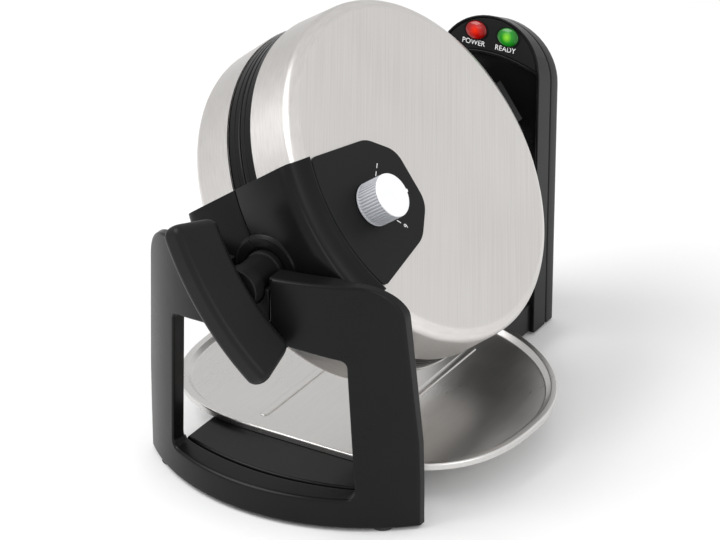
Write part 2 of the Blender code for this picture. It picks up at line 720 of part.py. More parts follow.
# ---------------------------------------------------------------- rear column
def column_outline(inset=0.0, low=FOOT_HEIGHT):
    """Seen from the front: straight sides under a round arch."""
    half = COLUMN_HALF - inset
    middle = COLUMN_TOP - COLUMN_HALF
    if low > middle:
        start = asin((low - middle) / half)
        return arc((0, middle), half, start, pi - start, 16)
    return [(half, low)] + arc((0, middle), half, 0, pi, 20) + [(-half, low)]


def column_slab(inset, low, front, back):
    """The column's outline between two depths, with the arch falling towards the back."""
    made = slab(column_outline(inset, low), front, back, "y")
    spring = COLUMN_TOP - COLUMN_HALF - GAP
    for corner in made.data.vertices:
        if corner.co.z > spring:
            corner.co.z -= (corner.co.y - COLUMN_FRONT) * COLUMN_FALL
    return made


LAMP_FACE_Y = COLUMN_FRONT + COLUMN_RECESS
LAMP_TURN = Matrix.Rotation(-LAMP_SLANT, 4, "X")
LAMP_FACE = Matrix.Translation((0, LAMP_FACE_Y, PANEL_LOW)) @ LAMP_TURN
LAMP_BACKING = 0.0035        # the column is solid this far behind the lamp face
COLUMN_SKIN = 0.0065         # the column's hollow starts this far behind its front
COLUMN_FLOOR = FOOT_HEIGHT + 0.0060


def lamp_face_y(z):
    return LAMP_FACE_Y + (z - PANEL_LOW) * tan(LAMP_SLANT)


def slanted(depth_low, depth_high, inset):
    """A slab parallel to the lamp face, as wide as the falling arch, between two depths behind it."""
    low = PANEL_LOW + COLUMN_RECESS * COLUMN_FALL - 0.0001
    squeeze = (1 + tan(LAMP_SLANT) * COLUMN_FALL) * cos(LAMP_SLANT)
    outline = [(x, (z - low) / squeeze) for x, z in column_outline(inset, low)]
    made = slab(outline, depth_low, depth_high, "y")
    made.data.transform(LAMP_FACE)
    return made


def rear_column():
    """The column's front moulding: hollow behind, open to its back cover."""
    shell = column_slab(0, FOOT_HEIGHT, COLUMN_FRONT, COLUMN_SPLIT)
    made = keep(shell, "rear_column", BLACK, ground)
    hollow = column_slab(COLUMN_WALL, COLUMN_FLOOR, COLUMN_FRONT + COLUMN_SKIN, 0.2)
    slope = box((-0.1, -0.05, -0.0001), (0.1, 0, 0.08))
    slope.data.transform(LAMP_FACE)
    backing = box((-0.1, -0.06, -0.02), (0.1, LAMP_BACKING, 0.08))
    backing.data.transform(LAMP_FACE)
    cut(hollow, backing)
    recess = slab(column_recess(), 0.1, LAMP_FACE_Y, "y")
    cut(made, as_mesh(hollow), slope, recess)
    cut(made, slanted(-0.001, INDICATOR_SHEET, COLUMN_WALL))
    cut(made, rod(BUSH_RADIUS + GAP, 0.1, 0.2, "y", (0, AXIS_HEIGHT), 32))
    for side in (-1, 1):
        cut(made, lamp_hole(side, LAMP_RADIUS + 0.0004))
        cut(made, foot_pocket(side * FOOT_X_REAR, FOOT_Y_REAR))
    return shade(made, 30)


def column_recess():
    """The shallow panel sunk into the column's front, under the lamps."""
    half, low = COLUMN_HALF - COLUMN_RIM, 0.034
    middle = COLUMN_TOP - COLUMN_HALF
    sweep = asin((PANEL_LOW + 0.0001 - middle) / half)
    right = [(half, low)] + arc((0, middle), half, 0, sweep, 6)
    return right + [(-x, z) for x, z in reversed(right)]


INDICATOR_SHEET = 0.0015
BUSH_RADIUS = 0.0140


def on_lamp_face(made, side, z=LAMP_Z):
    """Stand a piece modelled along +Y at the origin square to the lamp face, over a lamp."""
    place = Matrix.Translation((side * LAMP_X, lamp_face_y(z), z)) @ LAMP_TURN
    made.data.transform(place)
    return made


def lamp_hole(side, radius):
    return on_lamp_face(rod(radius, -0.01, 0.02, "y"), side)


def indicator_panel():
    plate = slanted(0.0002, INDICATOR_SHEET - GAP, COLUMN_WALL + GAP)
    made = keep(plate, "indicator_panel", PANEL_GREY, ground)
    for side in (-1, 1):
        cut(made, lamp_hole(side, LAMP_RADIUS + GAP))
    return made


def lamp_lens(name, side, finish):
    """A low domed lens with a flange behind the panel's hole."""
    dome = 0.0022
    line = [(0, -dome)] + [
        (LAMP_RADIUS * sin(a), -dome * cos(a)) for a in (pi / 6, pi / 3, 0.46 * pi)
    ] + [(LAMP_RADIUS, 0.0048), (0, 0.0048)]
    made = turned(line, axis="y", steps=24)
    return shade(keep(on_lamp_face(made, side), name, finish, ground), 50)


def back_cover():
    """The rear half of the column, a tub that closes it."""
    shell = column_slab(0, FOOT_HEIGHT, COLUMN_FRONT, COLUMN_BACK)
    made = keep(shell, "back_cover", BLACK, ground)
    bevel(made, COLUMN_ROUND, 3)
    cut(made, box((-0.1, 0, -0.1), (0.1, COLUMN_SPLIT + GAP, 0.3)))
    cut(made, column_slab(COLUMN_WALL, COLUMN_FLOOR, 0.1, COLUMN_BACK - COLUMN_WALL))
    return cut(made, rod(INLET_RADIUS + GAP, 0.17, 0.2, "y", (INLET_X, INLET_Z)))


INLET_RADIUS = 0.0065
INLET_X = -0.0180
INLET_Z = 0.0260


def cord_inlet():
    """The bushing in the back cover where a supply cord would enter."""
    flange = COLUMN_BACK + 0.0020
    bore = 0.0036
    line = [
        (bore, COLUMN_BACK - 0.0060), (INLET_RADIUS, COLUMN_BACK - 0.0060), (INLET_RADIUS, COLUMN_BACK + GAP),
        (INLET_RADIUS + 0.0025, COLUMN_BACK + GAP), (INLET_RADIUS + 0.0025, flange), (bore, flange),
    ]
    made = turned(line, closed=True, axis="y", centre=(INLET_X, INLET_Z), steps=24)
    return shade(keep(made, "cord_inlet", RUBBER, ground))


def rear_bush():
    """The plain bearing of the rear shaft, flanged in front."""
    front = COLUMN_FRONT + 0.0008
    bore = REAR_SHAFT_RADIUS + GAP
    line = [
        (bore, front), (BUSH_RADIUS, front), (BUSH_RADIUS, COLUMN_FRONT + 0.0085), (bore, COLUMN_FRONT + 0.0085),
    ]
    made = turned(line, closed=True, axis="y", centre=(0, AXIS_HEIGHT), steps=32)
    return shade(keep(made, "rear_bush", BRASS, ground))


def indicator_board():
    """The circuit board behind the lamps."""
    made = box((-0.0165, 0.0075, -0.0140), (0.0165, 0.0089, -0.0010))
    place = Matrix.Translation((0, lamp_face_y(LAMP_Z), LAMP_Z)) @ LAMP_TURN
    made.data.transform(place)
    return keep(made, "indicator_board", BOARD, ground)


rear_column()
indicator_panel()
lamp_lens("power_lens", -1, RED)
lamp_lens("ready_lens", 1, GREEN)
back_cover()
cord_inlet()
rear_bush()
indicator_board()
terminal = keep(box((-0.016, 0.1555, 0.040), (0.016, 0.1700, 0.052)), "terminal_block", CERAMIC, ground)
bevel(terminal, 0.001)
shaft_clip = turned(
    [(REAR_SHAFT_RADIUS + GAP, 0.1580), (0.0125, 0.1580), (0.0125, 0.1596), (REAR_SHAFT_RADIUS + GAP, 0.1596)],
    closed=True, axis="y", steps=24)
shade(keep(shaft_clip, "shaft_clip", BRIGHT, lid_frame))


# ---------------------------------------------------------------- base and tray
def base_frame():
    """The flat box under the tray that ties the stand to the column."""
    rear = COLUMN_FRONT - GAP
    half, slim, waist = BASE_FRONT_HALF, BASE_REAR_HALF, BASE_WAIST
    plan = [
        (-half, BASE_FRONT), (half, BASE_FRONT), (half, -waist), (slim, waist),
        (slim, rear), (-slim, rear), (-slim, waist), (-half, -waist),
    ]
    made = keep(slab(plan, FOOT_HEIGHT + 0.001, BASE_TOP), "base_frame", BLACK, ground)
    inner = [(x * 0.93, y * 0.96) for x, y in plan]
    cut(made, slab(inner, -0.01, BASE_TOP - BASE_WALL))
    reach = slab(stand_plan(), -0.01, 0.05)
    reach.data.transform(Matrix.Translation((0, GAP, 0)))
    return cut(made, reach)


def tray_outline(inset=0.0):
    """Seen from above: full sides, an oval rear and a front cut off straight."""
    half, back, bow = TRAY_HALF - inset, TRAY_BACK - inset, TRAY_BOW - inset
    power = 2 / TRAY_FULLNESS
    start = acos(((-TRAY_FRONT - inset) / bow) ** (1 / power))
    steps = 16
    turns = [start + (pi / 2 - start) * i / steps for i in range(steps)]
    right = [(half * sin(a) ** power, -bow * cos(a) ** power) for a in turns]
    right += [(half * x, back * y) for x, y in arc((0, 0), 1, 0, pi / 2, steps)]
    return right + [(-x, y) for x, y in reversed(right[:-1])]


def drip_tray():
    made = keep(slab(tray_outline(), TRAY_LOW, TRAY_RIM), "drip_tray", STEEL, ground)
    return cut(made, slab(tray_outline(TRAY_RIM_WIDTH), TRAY_LOW + TRAY_SHEET, 0.05))


base_frame()
drip_tray()
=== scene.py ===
# %% [markdown]
# # A rotary waffle maker
# Two hinged steel halves hold a round waffle between cast plates. A shaft at each end lets the
# whole disc turn over, so that the batter fills both plates. The disc rests in a curved black
# stand in front and in a column behind, over a shallow tray that catches drips.
# The moving solids are already made, so each cell below adds one piece's fine shape or finish.

# %% Load the moving frame
import json
from math import asin, atan2, cos, exp, hypot, log, pi, radians, sin, sqrt, tan

import bmesh
import bpy
from mathutils import Matrix, Vector


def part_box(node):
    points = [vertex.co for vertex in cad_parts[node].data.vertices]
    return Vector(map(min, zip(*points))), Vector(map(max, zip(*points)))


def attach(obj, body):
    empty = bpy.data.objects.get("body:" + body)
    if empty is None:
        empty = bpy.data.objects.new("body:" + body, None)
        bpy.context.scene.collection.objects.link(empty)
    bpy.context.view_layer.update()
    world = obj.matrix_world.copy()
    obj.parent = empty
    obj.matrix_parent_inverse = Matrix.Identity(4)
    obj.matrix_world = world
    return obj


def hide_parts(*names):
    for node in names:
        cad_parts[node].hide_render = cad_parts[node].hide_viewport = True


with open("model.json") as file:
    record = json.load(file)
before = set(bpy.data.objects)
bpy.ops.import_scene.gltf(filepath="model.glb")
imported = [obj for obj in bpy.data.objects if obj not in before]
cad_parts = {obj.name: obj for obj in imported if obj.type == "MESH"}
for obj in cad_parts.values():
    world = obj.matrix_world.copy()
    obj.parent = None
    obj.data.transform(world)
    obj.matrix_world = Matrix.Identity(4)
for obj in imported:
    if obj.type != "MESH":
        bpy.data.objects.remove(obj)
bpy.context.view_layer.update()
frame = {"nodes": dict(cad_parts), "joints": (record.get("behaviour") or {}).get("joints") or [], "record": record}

# %% [markdown]
# Everything on the disc is easiest to shape lying flat: X across, Y from front to back and Z
# square to the plates. The joints tell where the flip axis is and how far the disc is tilted,
# and from those come two matrices, one for the lid and one for the lower half turned over.

# %% Where the disc stands
joints = {joint["name"]: joint for joint in frame["joints"]}
CENTRE = Vector(joints["flip"]["pos_m"])
KNOB_AXIS = Vector(joints["browning_knob_turn"]["axis"]).normalized()
TILT = atan2(KNOB_AXIS.x, KNOB_AXIS.z)
LID = Matrix.Translation(CENTRE) @ Matrix.Rotation(TILT, 4, "Y")
LOWER = LID @ Matrix.Rotation(pi, 4, "Y")
STAND = Matrix.Translation((0, CENTRE.y, 0))
ALONG_Y = Matrix.Rotation(-pi / 2, 4, "X")       # turns a shape made along Z to lie along Y
HALVES = (("lower", "lower_half", LOWER), ("lid", "lid", LID))      # name, body and place
UPRIGHT = Matrix(((1, 0, 0, 0), (0, 0, 1, 0), (0, 1, 0, 0), (0, 0, 0, 1)))  # drawn X, Y to X, Z
KNOB_Y = (LID.inverted() @ Vector(joints["browning_knob_turn"]["pos_m"])).y
print("tilt", round(TILT * 180 / pi, 2), "knob at", round(KNOB_Y, 4))

# %% [markdown]
# ## Helpers for shapes
# A corner that meets the hand is never sharp. This helper swaps the corners of a drawn line for
# small arcs, and every profile and outline below goes through it.

# %% Round the corners of a line
def rounded(corners, radius, steps=4, closed=True):
    """The corners of a line swapped for arcs, with one radius for all or a list of them."""
    radii = radius if isinstance(radius, list) else [radius] * len(corners)
    line = []
    for i, (corner, r) in enumerate(zip(corners, radii)):
        here = Vector(corner)
        if r == 0 or (not closed and i in (0, len(corners) - 1)):
            line.append(tuple(here))
            continue
        back = Vector(corners[i - 1]) - here
        ahead = Vector(corners[(i + 1) % len(corners)]) - here
        half = back.angle(ahead) / 2
        reach = min(r / tan(half), 0.48 * back.length, 0.48 * ahead.length)
        middle = here + (back.normalized() + ahead.normalized()).normalized() * (reach / cos(half))
        first = here + back.normalized() * reach - middle
        last = here + ahead.normalized() * reach - middle
        start = atan2(first.y, first.x)
        sweep = (atan2(last.y, last.x) - start + pi) % (2 * pi) - pi
        for k in range(steps + 1):
            a = start + sweep * k / steps
            line.append((middle.x + first.length * cos(a), middle.y + first.length * sin(a)))
    return line


def arc(centre, radius, start, end, count):
    """Points of a round stretch, its angles in degrees from +X."""
    turns = [radians(start + (end - start) * i / count) for i in range(count + 1)]
    return [(centre[0] + radius * cos(a), centre[1] + radius * sin(a)) for a in turns]


print("a square's corners rounded:", len(rounded([(0, 0), (1, 0), (1, 1), (0, 1)], 0.1)), "points")

# %% [markdown]
# Three ways of making a surface cover this object. A lathe turns a profile about an axis, a
# loft joins a row of equal loops, and a plate gives an outline, with holes if it has any, a
# thickness and softly rounded edges. All three build quads, which shade evenly.

# %% Lathe, loft and plate
def lathe(line, steps=128, closed=False, start=0.0, sweep=360.0):
    """Turn a line of (radius, height) about Z, all the way round or part of it."""
    work = bmesh.new()
    whole = sweep >= 360
    columns = steps if whole else steps + 1
    turns = [radians(start + sweep * i / steps) for i in range(columns)]
    rows = []
    for r, z in line:
        spots = turns if r > 1e-7 else [0]
        rows.append([work.verts.new((r * cos(a), r * sin(a), z)) for a in spots])
    pairs = list(zip(rows, rows[1:])) + ([(rows[-1], rows[0])] if closed else [])
    for a, b in pairs:
        for i in range(steps):
            j = (i + 1) % columns
            ring = [a[i % len(a)], a[j % len(a)], b[j % len(b)], b[i % len(b)]]
            work.faces.new(list(dict.fromkeys(ring)))
    if not whole and closed:
        for i in (0, steps):
            work.faces.new([row[i] for row in rows])
    return work


def loft(loops):
    """Join a row of loops, which all have the same number of points, and close both ends."""
    work = bmesh.new()
    rows = [[work.verts.new(p) for p in loop] for loop in loops]
    count = len(rows[0])
    for a, b in zip(rows, rows[1:]):
        for i in range(count):
            j = (i + 1) % count
            work.faces.new((a[i], a[j], b[j], b[i]))
    work.faces.new(rows[0])
    work.faces.new(rows[-1])
    return work


def inset(loop, distance):
    """Move a closed loop of (x, y) sideways, to its left by distance."""
    shifted = []
    for i, point in enumerate(loop):
        here = Vector(point)
        before = (here - Vector(loop[i - 1])).normalized()
        after = (Vector(loop[(i + 1) % len(loop)]) - here).normalized()
        along = before + after
        left = Vector((-along.y, along.x)).normalized()
        stretch = max(0.5, left.dot(Vector((-before.y, before.x))))
        shifted.append(tuple(here + left * (distance / stretch)))
    return shifted


def area(loop):
    return sum(a[0] * b[1] - b[0] * a[1] for a, b in zip(loop, loop[1:] + loop[:1])) / 2


def plate(outline, holes, low, high, edge=0.001, steps=3):
    """A flat piece between two heights, with rounded edges on its outline and its holes."""
    work = bmesh.new()
    turns = [pi / 2 * k / steps for k in range(steps + 1)]
    section = [(edge * (1 - sin(a)), high - edge * (1 - cos(a))) for a in turns]
    section += [(edge * (1 - cos(a)), low + edge * (1 - sin(a))) for a in turns]
    caps = [[], []]
    for loop, way in [(outline, 1)] + [(hole, -1) for hole in holes]:
        loop = loop if area(loop) * way > 0 else loop[::-1]
        rows = [[work.verts.new((x, y, z)) for x, y in inset(loop, shift)] for shift, z in section]
        for a, b in zip(rows, rows[1:]):
            for i in range(len(loop)):
                j = (i + 1) % len(loop)
                work.faces.new((a[i], b[i], b[j], a[j]))
        for cap, row in zip(caps, (rows[0], rows[-1])):
            cap += [work.edges.get((row[i - 1], row[i])) for i in range(len(row))]
    for cap in caps:
        bmesh.ops.triangle_fill(work, edges=cap, use_beauty=True)
    return work


def sliced(work, normal, places):
    """Cut every face where it crosses the planes, so that the piece can be bent."""
    for place in places:
        bmesh.ops.bisect_plane(work, geom=work.verts[:] + work.edges[:] + work.faces[:],
                               dist=1e-6, plane_co=Vector(normal) * place, plane_no=normal)
    return work


def moved(work, matrix):
    bmesh.ops.transform(work, matrix=matrix, verts=work.verts)
    return work


def bent(work, rule):
    """Move each point by a rule from its x, y and z to a new place."""
    for vert in work.verts:
        vert.co = rule(*vert.co)
    return work


def merged(*works):
    """Several shapes in one mesh."""
    mesh = bpy.data.meshes.new("merging")
    first = works[0]
    for other in works[1:]:
        other.to_mesh(mesh)
        first.from_mesh(mesh)
        other.free()
    bpy.data.meshes.remove(mesh)
    return first


print("helpers ready")

# %% [markdown]
# ## Finishes
# Shader nodes are easier to read as arithmetic. A `Wire` is one output of a node, and adding or
# multiplying wires adds the Math nodes. A `Finish` is a material: its `node` method makes any
# node, with its settings first and then the values or wires of its inputs.

# %% Wires and finishes
class Wire:
    def __init__(self, finish, socket):
        self.finish = finish
        self.socket = socket

    def maths(self, operation, *values):
        return self.finish.node("ShaderNodeMath", {"operation": operation}, *values)

    def __add__(self, other):
        return self.maths("ADD", self, other)

    def __sub__(self, other):
        return self.maths("SUBTRACT", self, other)

    def __rsub__(self, other):
        return self.maths("SUBTRACT", other, self)

    def __mul__(self, other):
        return self.maths("MULTIPLY", self, other)

    def __truediv__(self, other):
        return self.maths("DIVIDE", self, other)

    def __abs__(self):
        return self.maths("ABSOLUTE", self)

    __radd__ = __add__
    __rmul__ = __mul__


class Finish:
    def __init__(self, name):
        self.material = bpy.data.materials.new(name)
        self.material.use_nodes = True
        self.tree = self.material.node_tree
        self.shader = self.tree.nodes["Principled BSDF"]

    def node(self, kind, settings, *values, out=0, **named):
        made = self.tree.nodes.new(kind)
        for key, value in settings.items():
            setattr(made, key, value)
        for key, value in list(enumerate(values)) + list(named.items()):
            socket = made.inputs[key if isinstance(key, int) else key.replace("_", " ")]
            self.put(socket, value)
        return Wire(self, made.outputs[out])

    def put(self, socket, value):
        if isinstance(value, Wire):
            self.tree.links.new(value.socket, socket)
        elif value is not None:
            socket.default_value = value

    def looks(self, **values):
        """Set the shader's own sockets, with numbers, colours or wires."""
        for key, value in values.items():
            self.put(self.shader.inputs[key.replace("_", " ")], value)
        return self

    def place(self, where=None, turn=(0, 0, 0)):
        """Object coordinates, from another origin and turned if the pattern needs it."""
        wire = self.node("ShaderNodeTexCoord", {}, out="Object")
        if where is None:
            return wire
        return self.node("ShaderNodeMapping", {"vector_type": "TEXTURE"}, wire, where, turn)

    def noise(self, vector, scale, detail=3.0, rough=0.5):
        return self.node("ShaderNodeTexNoise", {}, Vector=vector, Scale=scale, Detail=detail,
                         Roughness=rough)

    def ramp(self, value, stops):
        made = self.tree.nodes.new("ShaderNodeValToRGB")
        marks = made.color_ramp.elements
        while len(marks) < len(stops):
            marks.new(0.5)
        for mark, (at, colour) in zip(marks, stops):
            mark.position = at
            mark.color = (*colour, 1)
        self.put(made.inputs["Fac"], value)
        return Wire(self, made.outputs["Color"])

    def mix(self, share, a, b):
        """Blend two colours."""
        made = self.tree.nodes.new("ShaderNodeMix")
        made.data_type = "RGBA"
        for index, value in ((0, share), (6, a), (7, b)):
            value = (*value, 1) if isinstance(value, tuple) and len(value) == 3 else value
            self.put(made.inputs[index], value)
        return Wire(self, made.outputs[2])

    def bump(self, height, strength, distance):
        return self.node("ShaderNodeBump", {}, Strength=strength, Distance=distance, Height=height)

    def split(self, vector):
        """The three numbers of a vector."""
        made = self.tree.nodes.new("ShaderNodeSeparateXYZ")
        self.put(made.inputs[0], vector)
        return [Wire(self, made.outputs[i]) for i in range(3)]

    def join(self, x, y, z):
        return self.node("ShaderNodeCombineXYZ", {}, x, y, z)


print("wires and finishes ready")

# %% [markdown]
# ### Brushed steel
# The covers are brushed sheet. Round the wall the brush ran with the turning cover, and across
# the flat face it ran straight, at half a right angle to the handle. So two streaky noises are
# made in the disc's own coordinates, long along the brush and fine across it, and the height on
# the disc picks one of them.

# %% Brushed steel for the covers
FACE_HEIGHT = 0.0458         # the flat steel face, above the plane where the halves meet
DIAGONAL = 0.7071            # sine and cosine of half a right angle


def brushed_cover(name):
    steel = Finish(name)
    spot = steel.place(tuple(CENTRE), (0, TILT, 0))
    x, y, z = steel.split(spot)
    angle = steel.node("ShaderNodeMath", {"operation": "ARCTAN2"}, y, x)
    round_wall = steel.noise(steel.join(angle * 0.35, abs(z) * 34, 0), 26, 4, 0.62)
    along, across = (x - y) * DIAGONAL, (x + y) * DIAGONAL
    straight = steel.noise(steel.join(along * 3.0, across * 260, 0), 3.2, 4, 0.62)
    on_face = steel.node("ShaderNodeMath", {"operation": "GREATER_THAN"}, abs(z), FACE_HEIGHT - 0.0006)
    streak = round_wall * (1 - on_face) + straight * on_face
    cloud = steel.noise(spot, 11, 2)
    tone = streak * 0.7 + cloud * 0.3
    colour = steel.ramp(tone, [(0.30, (0.620, 0.598, 0.580)), (0.52, (0.685, 0.664, 0.645)),
                               (0.72, (0.735, 0.716, 0.698))])
    return steel.looks(Base_Color=colour, Metallic=1.0, Roughness=0.30 + streak * 0.16 + cloud * 0.04,
                       Normal=steel.bump(streak, 0.10, 0.0002))


COVER_STEEL = brushed_cover("brushed_cover_steel")
print(COVER_STEEL.material.name)

# %% [markdown]
# ### Pressed and turned metals
# The tray is plain rolled sheet with a faint grain along it and cloudy marks from use. The pins,
# pans and shafts are bright steel, and the bush and the knob's spindle are brass.

# %% Tray steel, bright steel and brass
def plain_metal(name, dark, light, roughness, stretch=(1, 1, 1)):
    metal = Finish(name)
    spot = metal.node("ShaderNodeVectorMath", {"operation": "MULTIPLY"}, metal.place(), stretch)
    grain = metal.noise(spot, 60, 4, 0.6)
    cloud = metal.noise(metal.place(), 14, 3)
    tone = grain * 0.5 + cloud * 0.5
    return metal.looks(Base_Color=metal.mix(tone, dark, light), Metallic=1.0,
                       Roughness=roughness + (tone - 0.5) * 0.22,
                       Normal=metal.bump(grain, 0.06, 0.0002))


TRAY_STEEL = plain_metal("rolled_tray_steel", (0.60, 0.585, 0.57), (0.78, 0.765, 0.75), 0.30, (16, 0.7, 1))
BRIGHT_STEEL = plain_metal("bright_steel", (0.55, 0.55, 0.55), (0.75, 0.75, 0.75), 0.24)
BRASS = plain_metal("turned_brass", (0.62, 0.44, 0.18), (0.80, 0.62, 0.32), 0.28)
print(TRAY_STEEL.material.name, BRIGHT_STEEL.material.name, BRASS.material.name)

# %% [markdown]
# ### Moulded plastics
# Three blacks and a grey: the half-gloss body, the satin grip, rubber, and the matt panel. What
# tells them apart is roughness and grain, so one recipe takes the colour, the shine and how
# strong the moulded texture is. A slow noise varies the shine as handling does. The same recipe
# serves the knob in two silvers, a paler one on its top as painted light and a darker one on
# its side as painted shade. It also serves the ceramic blocks and the printed marks.

# %% Plastics and rubber
def moulded(name, colour, roughness, grain=0.04, size=900, shine=0.5):
    plastic = Finish(name)
    spot = plastic.place()
    texture = plastic.noise(spot, size, 2)
    wear = plastic.noise(spot, 22, 4, 0.6)
    lighter = tuple(min(1, c * 1.35 + 0.003) for c in colour)
    plastic.looks(Base_Color=plastic.mix(wear, colour, lighter),
                  Roughness=roughness - 0.05 + wear * 0.10 + texture * 0.02,
                  Normal=plastic.bump(texture, grain, 0.0003))
    return plastic.looks(Specular_IOR_Level=shine)


GLOSS_BLACK = moulded("half_gloss_black", (0.0035, 0.0035, 0.0038), 0.28, 0.03, 1200, 0.16)
SOFT_BLACK = moulded("satin_black_grip", (0.0065, 0.0065, 0.0067), 0.36, 0.10, 1500, 0.15)
PANEL_GREY = moulded("matt_panel_grey", (0.0060, 0.0060, 0.0062), 0.50, 0.12, 1600, 0.15)
RUBBER = moulded("black_rubber", (0.016, 0.016, 0.016), 0.80, 0.20, 800)
# painted light and shade: one silver knob, given a paler colour on its top and a darker one on its side
KNOB_TOP_PAINTED_LIGHT = moulded("knob_top_painted_light", (0.76, 0.77, 0.79), 0.30, 0.02, 900)
KNOB_SIDE_PAINTED_SHADE = moulded("knob_side_painted_shade", (0.46, 0.47, 0.50), 0.28, 0.02, 900)
CERAMIC = moulded("unglazed_ceramic", (0.72, 0.68, 0.60), 0.62, 0.12, 700)
WHITE_INK = moulded("white_print", (0.72, 0.72, 0.72), 0.55, 0.02, 900)
print("plastics ready")

# %% [markdown]
# ### Non-stick coating, circuit board and lamps
# The plates are dark sprayed castings, finely speckled. The board is lacquered green with paler
# tracks. The lamps are translucent caps over a bright spot, so their glow is strongest and
# yellowest at the middle, which a distance from the lamp's centre gives.

# %% Plates, board and lamps
def coated_casting():
    cast = Finish("speckled_non_stick")
    spot = cast.place()
    speck = cast.noise(spot, 1400, 1)
    cloud = cast.noise(spot, 30, 3)
    colour = cast.ramp(speck, [(0.45, (0.020, 0.020, 0.022)), (0.75, (0.075, 0.073, 0.072))])
    return cast.looks(Base_Color=colour, Roughness=0.34 + cloud * 0.16, Metallic=0.2,
                      Normal=cast.bump(speck, 0.12, 0.0003))


def circuit_board():
    board = Finish("green_circuit_board")
    tracks = board.node("ShaderNodeTexBrick", {}, Vector=board.place(), Scale=90.0,
                        Color1=(0.03, 0.20, 0.06, 1), Color2=(0.03, 0.16, 0.05, 1),
                        Mortar=(0.10, 0.36, 0.16, 1))
    return board.looks(Base_Color=tracks, Roughness=0.45)


def lamp(name, centre, middle, rim, radius):
    lit = Finish(name)
    offset = lit.place(tuple(centre))
    distance = lit.node("ShaderNodeVectorMath", {"operation": "LENGTH"}, offset, out="Value")
    glow = lit.ramp(distance / radius, [(0.10, middle), (0.55, rim), (1.0, tuple(c * 0.45 for c in rim))])
    lit.looks(Base_Color=glow, Emission_Color=glow, Roughness=0.16, Emission_Strength=0.35)
    return lit


NON_STICK = coated_casting()
BOARD = circuit_board()
print(NON_STICK.material.name, BOARD.material.name)

# %% [markdown]
# ## From a shape to a piece
# Each finished shape gets its normals turned outwards, its place worked into its mesh, its
# finish, and the body that it moves with. It also names the plain solids that it stands for.

# %% Keep a piece
def keep(name, work, body, finish, place=Matrix(), stands_for=(), angle=35, soften=0.0):
    bmesh.ops.remove_doubles(work, verts=work.verts, dist=1e-6)
    bmesh.ops.recalc_face_normals(work, faces=work.faces)
    mesh = bpy.data.meshes.new(name)
    work.to_mesh(mesh)
    work.free()
    mesh.transform(place)
    mesh.shade_smooth()
    mesh.set_sharp_from_angle(angle=radians(angle))
    made = bpy.data.objects.new(name, mesh)
    bpy.context.scene.collection.objects.link(made)
    mesh.materials.append(finish.material)
    if soften:
        edge = made.modifiers.new("Soft edges", "BEVEL")
        edge.width = soften
        edge.segments = 3
        edge.limit_method = "ANGLE"
        edge.angle_limit = radians(angle)
        edge.harden_normals = True
    else:
        made.modifiers.new("Even shading", "WEIGHTED_NORMAL").keep_sharp = True
    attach(made, body)
    if stands_for:
        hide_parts(*stands_for)
    print(f"{name}: {len(mesh.polygons)} faces on {body}")
    return made


# %% [markdown]
# ## The steel covers
# Each half is a spun dish: a flat face, a rolled shoulder that turns over in two bends, and a
# wall that opens very slightly towards its edge. One profile serves both.

# %% Steel covers
SHELL_RADIUS = 0.1166
SHOULDER_RADIUS = 0.1153
FACE_RADIUS = 0.1075
BEZEL_HEIGHT = 0.0106
SHEET = 0.0012


def cover_line(offset):
    """The cover's outer line from middle to edge, moved inwards by offset."""
    corners = [
        (0, FACE_HEIGHT - offset), (FACE_RADIUS, FACE_HEIGHT - offset),
        (SHOULDER_RADIUS - 0.0004 - offset, 0.0412 - offset * 0.5),
        (SHELL_RADIUS - offset, BEZEL_HEIGHT + 0.0002),
    ]
    return rounded(corners, [0, 0.0045, 0.0060, 0], 7, closed=False)


curl = [(SHELL_RADIUS - 0.0004, BEZEL_HEIGHT + 0.00005),
        (SHELL_RADIUS - SHEET, BEZEL_HEIGHT + 0.00025)]
for side, body, place in HALVES:
    work = lathe([*cover_line(0), *curl, *cover_line(SHEET)[::-1]], 192)
    keep(f"{side}_brushed_cover", work, body, COVER_STEEL, place, [f"{side}_cover"], 50)

# %% [markdown]
# ## The black bands
# Between the two steel dishes runs a black band in two halves, with a fine groove where each
# meets its dish and a soft edge at the joint, which catches two thin lines of light.

# %% Black bands
PLATE_RADIUS = 0.1010
JOINT_GAP = 0.00015          # from each half to the plane where they meet

outer = SHELL_RADIUS - 0.0009
groove = outer - 0.0005
lip_outer, lip_inner = SHELL_RADIUS - 0.0024, SHELL_RADIUS - 0.0056
lip_top, ledge = BEZEL_HEIGHT + 0.0095, BEZEL_HEIGHT - 0.0008
inner = PLATE_RADIUS + 0.0003
ring = [
    (lip_inner, lip_top), (lip_outer, lip_top), (lip_outer, ledge), (outer, ledge),
    (outer, 0.0052), (groove, 0.0048), (groove, 0.0042), (outer, 0.0038),
    (outer, JOINT_GAP), (inner, JOINT_GAP), (inner, BEZEL_HEIGHT), (lip_inner, BEZEL_HEIGHT),
]
soft = [0.0003, 0.0003, 0.0002, 0.0009, 0.0002, 0.0001, 0.0001, 0.0002, 0.0012, 0.0008, 0, 0]
for side, body, place in HALVES:
    keep(f"{side}_black_band", lathe(rounded(ring, soft, 3), 160, closed=True), body, GLOSS_BLACK,
         place, [f"{side}_bezel"], 40)

# %% [markdown]
# ## The waffle plates
# A plate is a cast dish with a flat rim and a sloping well. The blunt pegs that press the
# squares into a waffle repeat on a lattice, which is a job for Geometry Nodes: a grid of points,
# those outside the well dropped, and a tapered four-sided peg set on each of the rest.

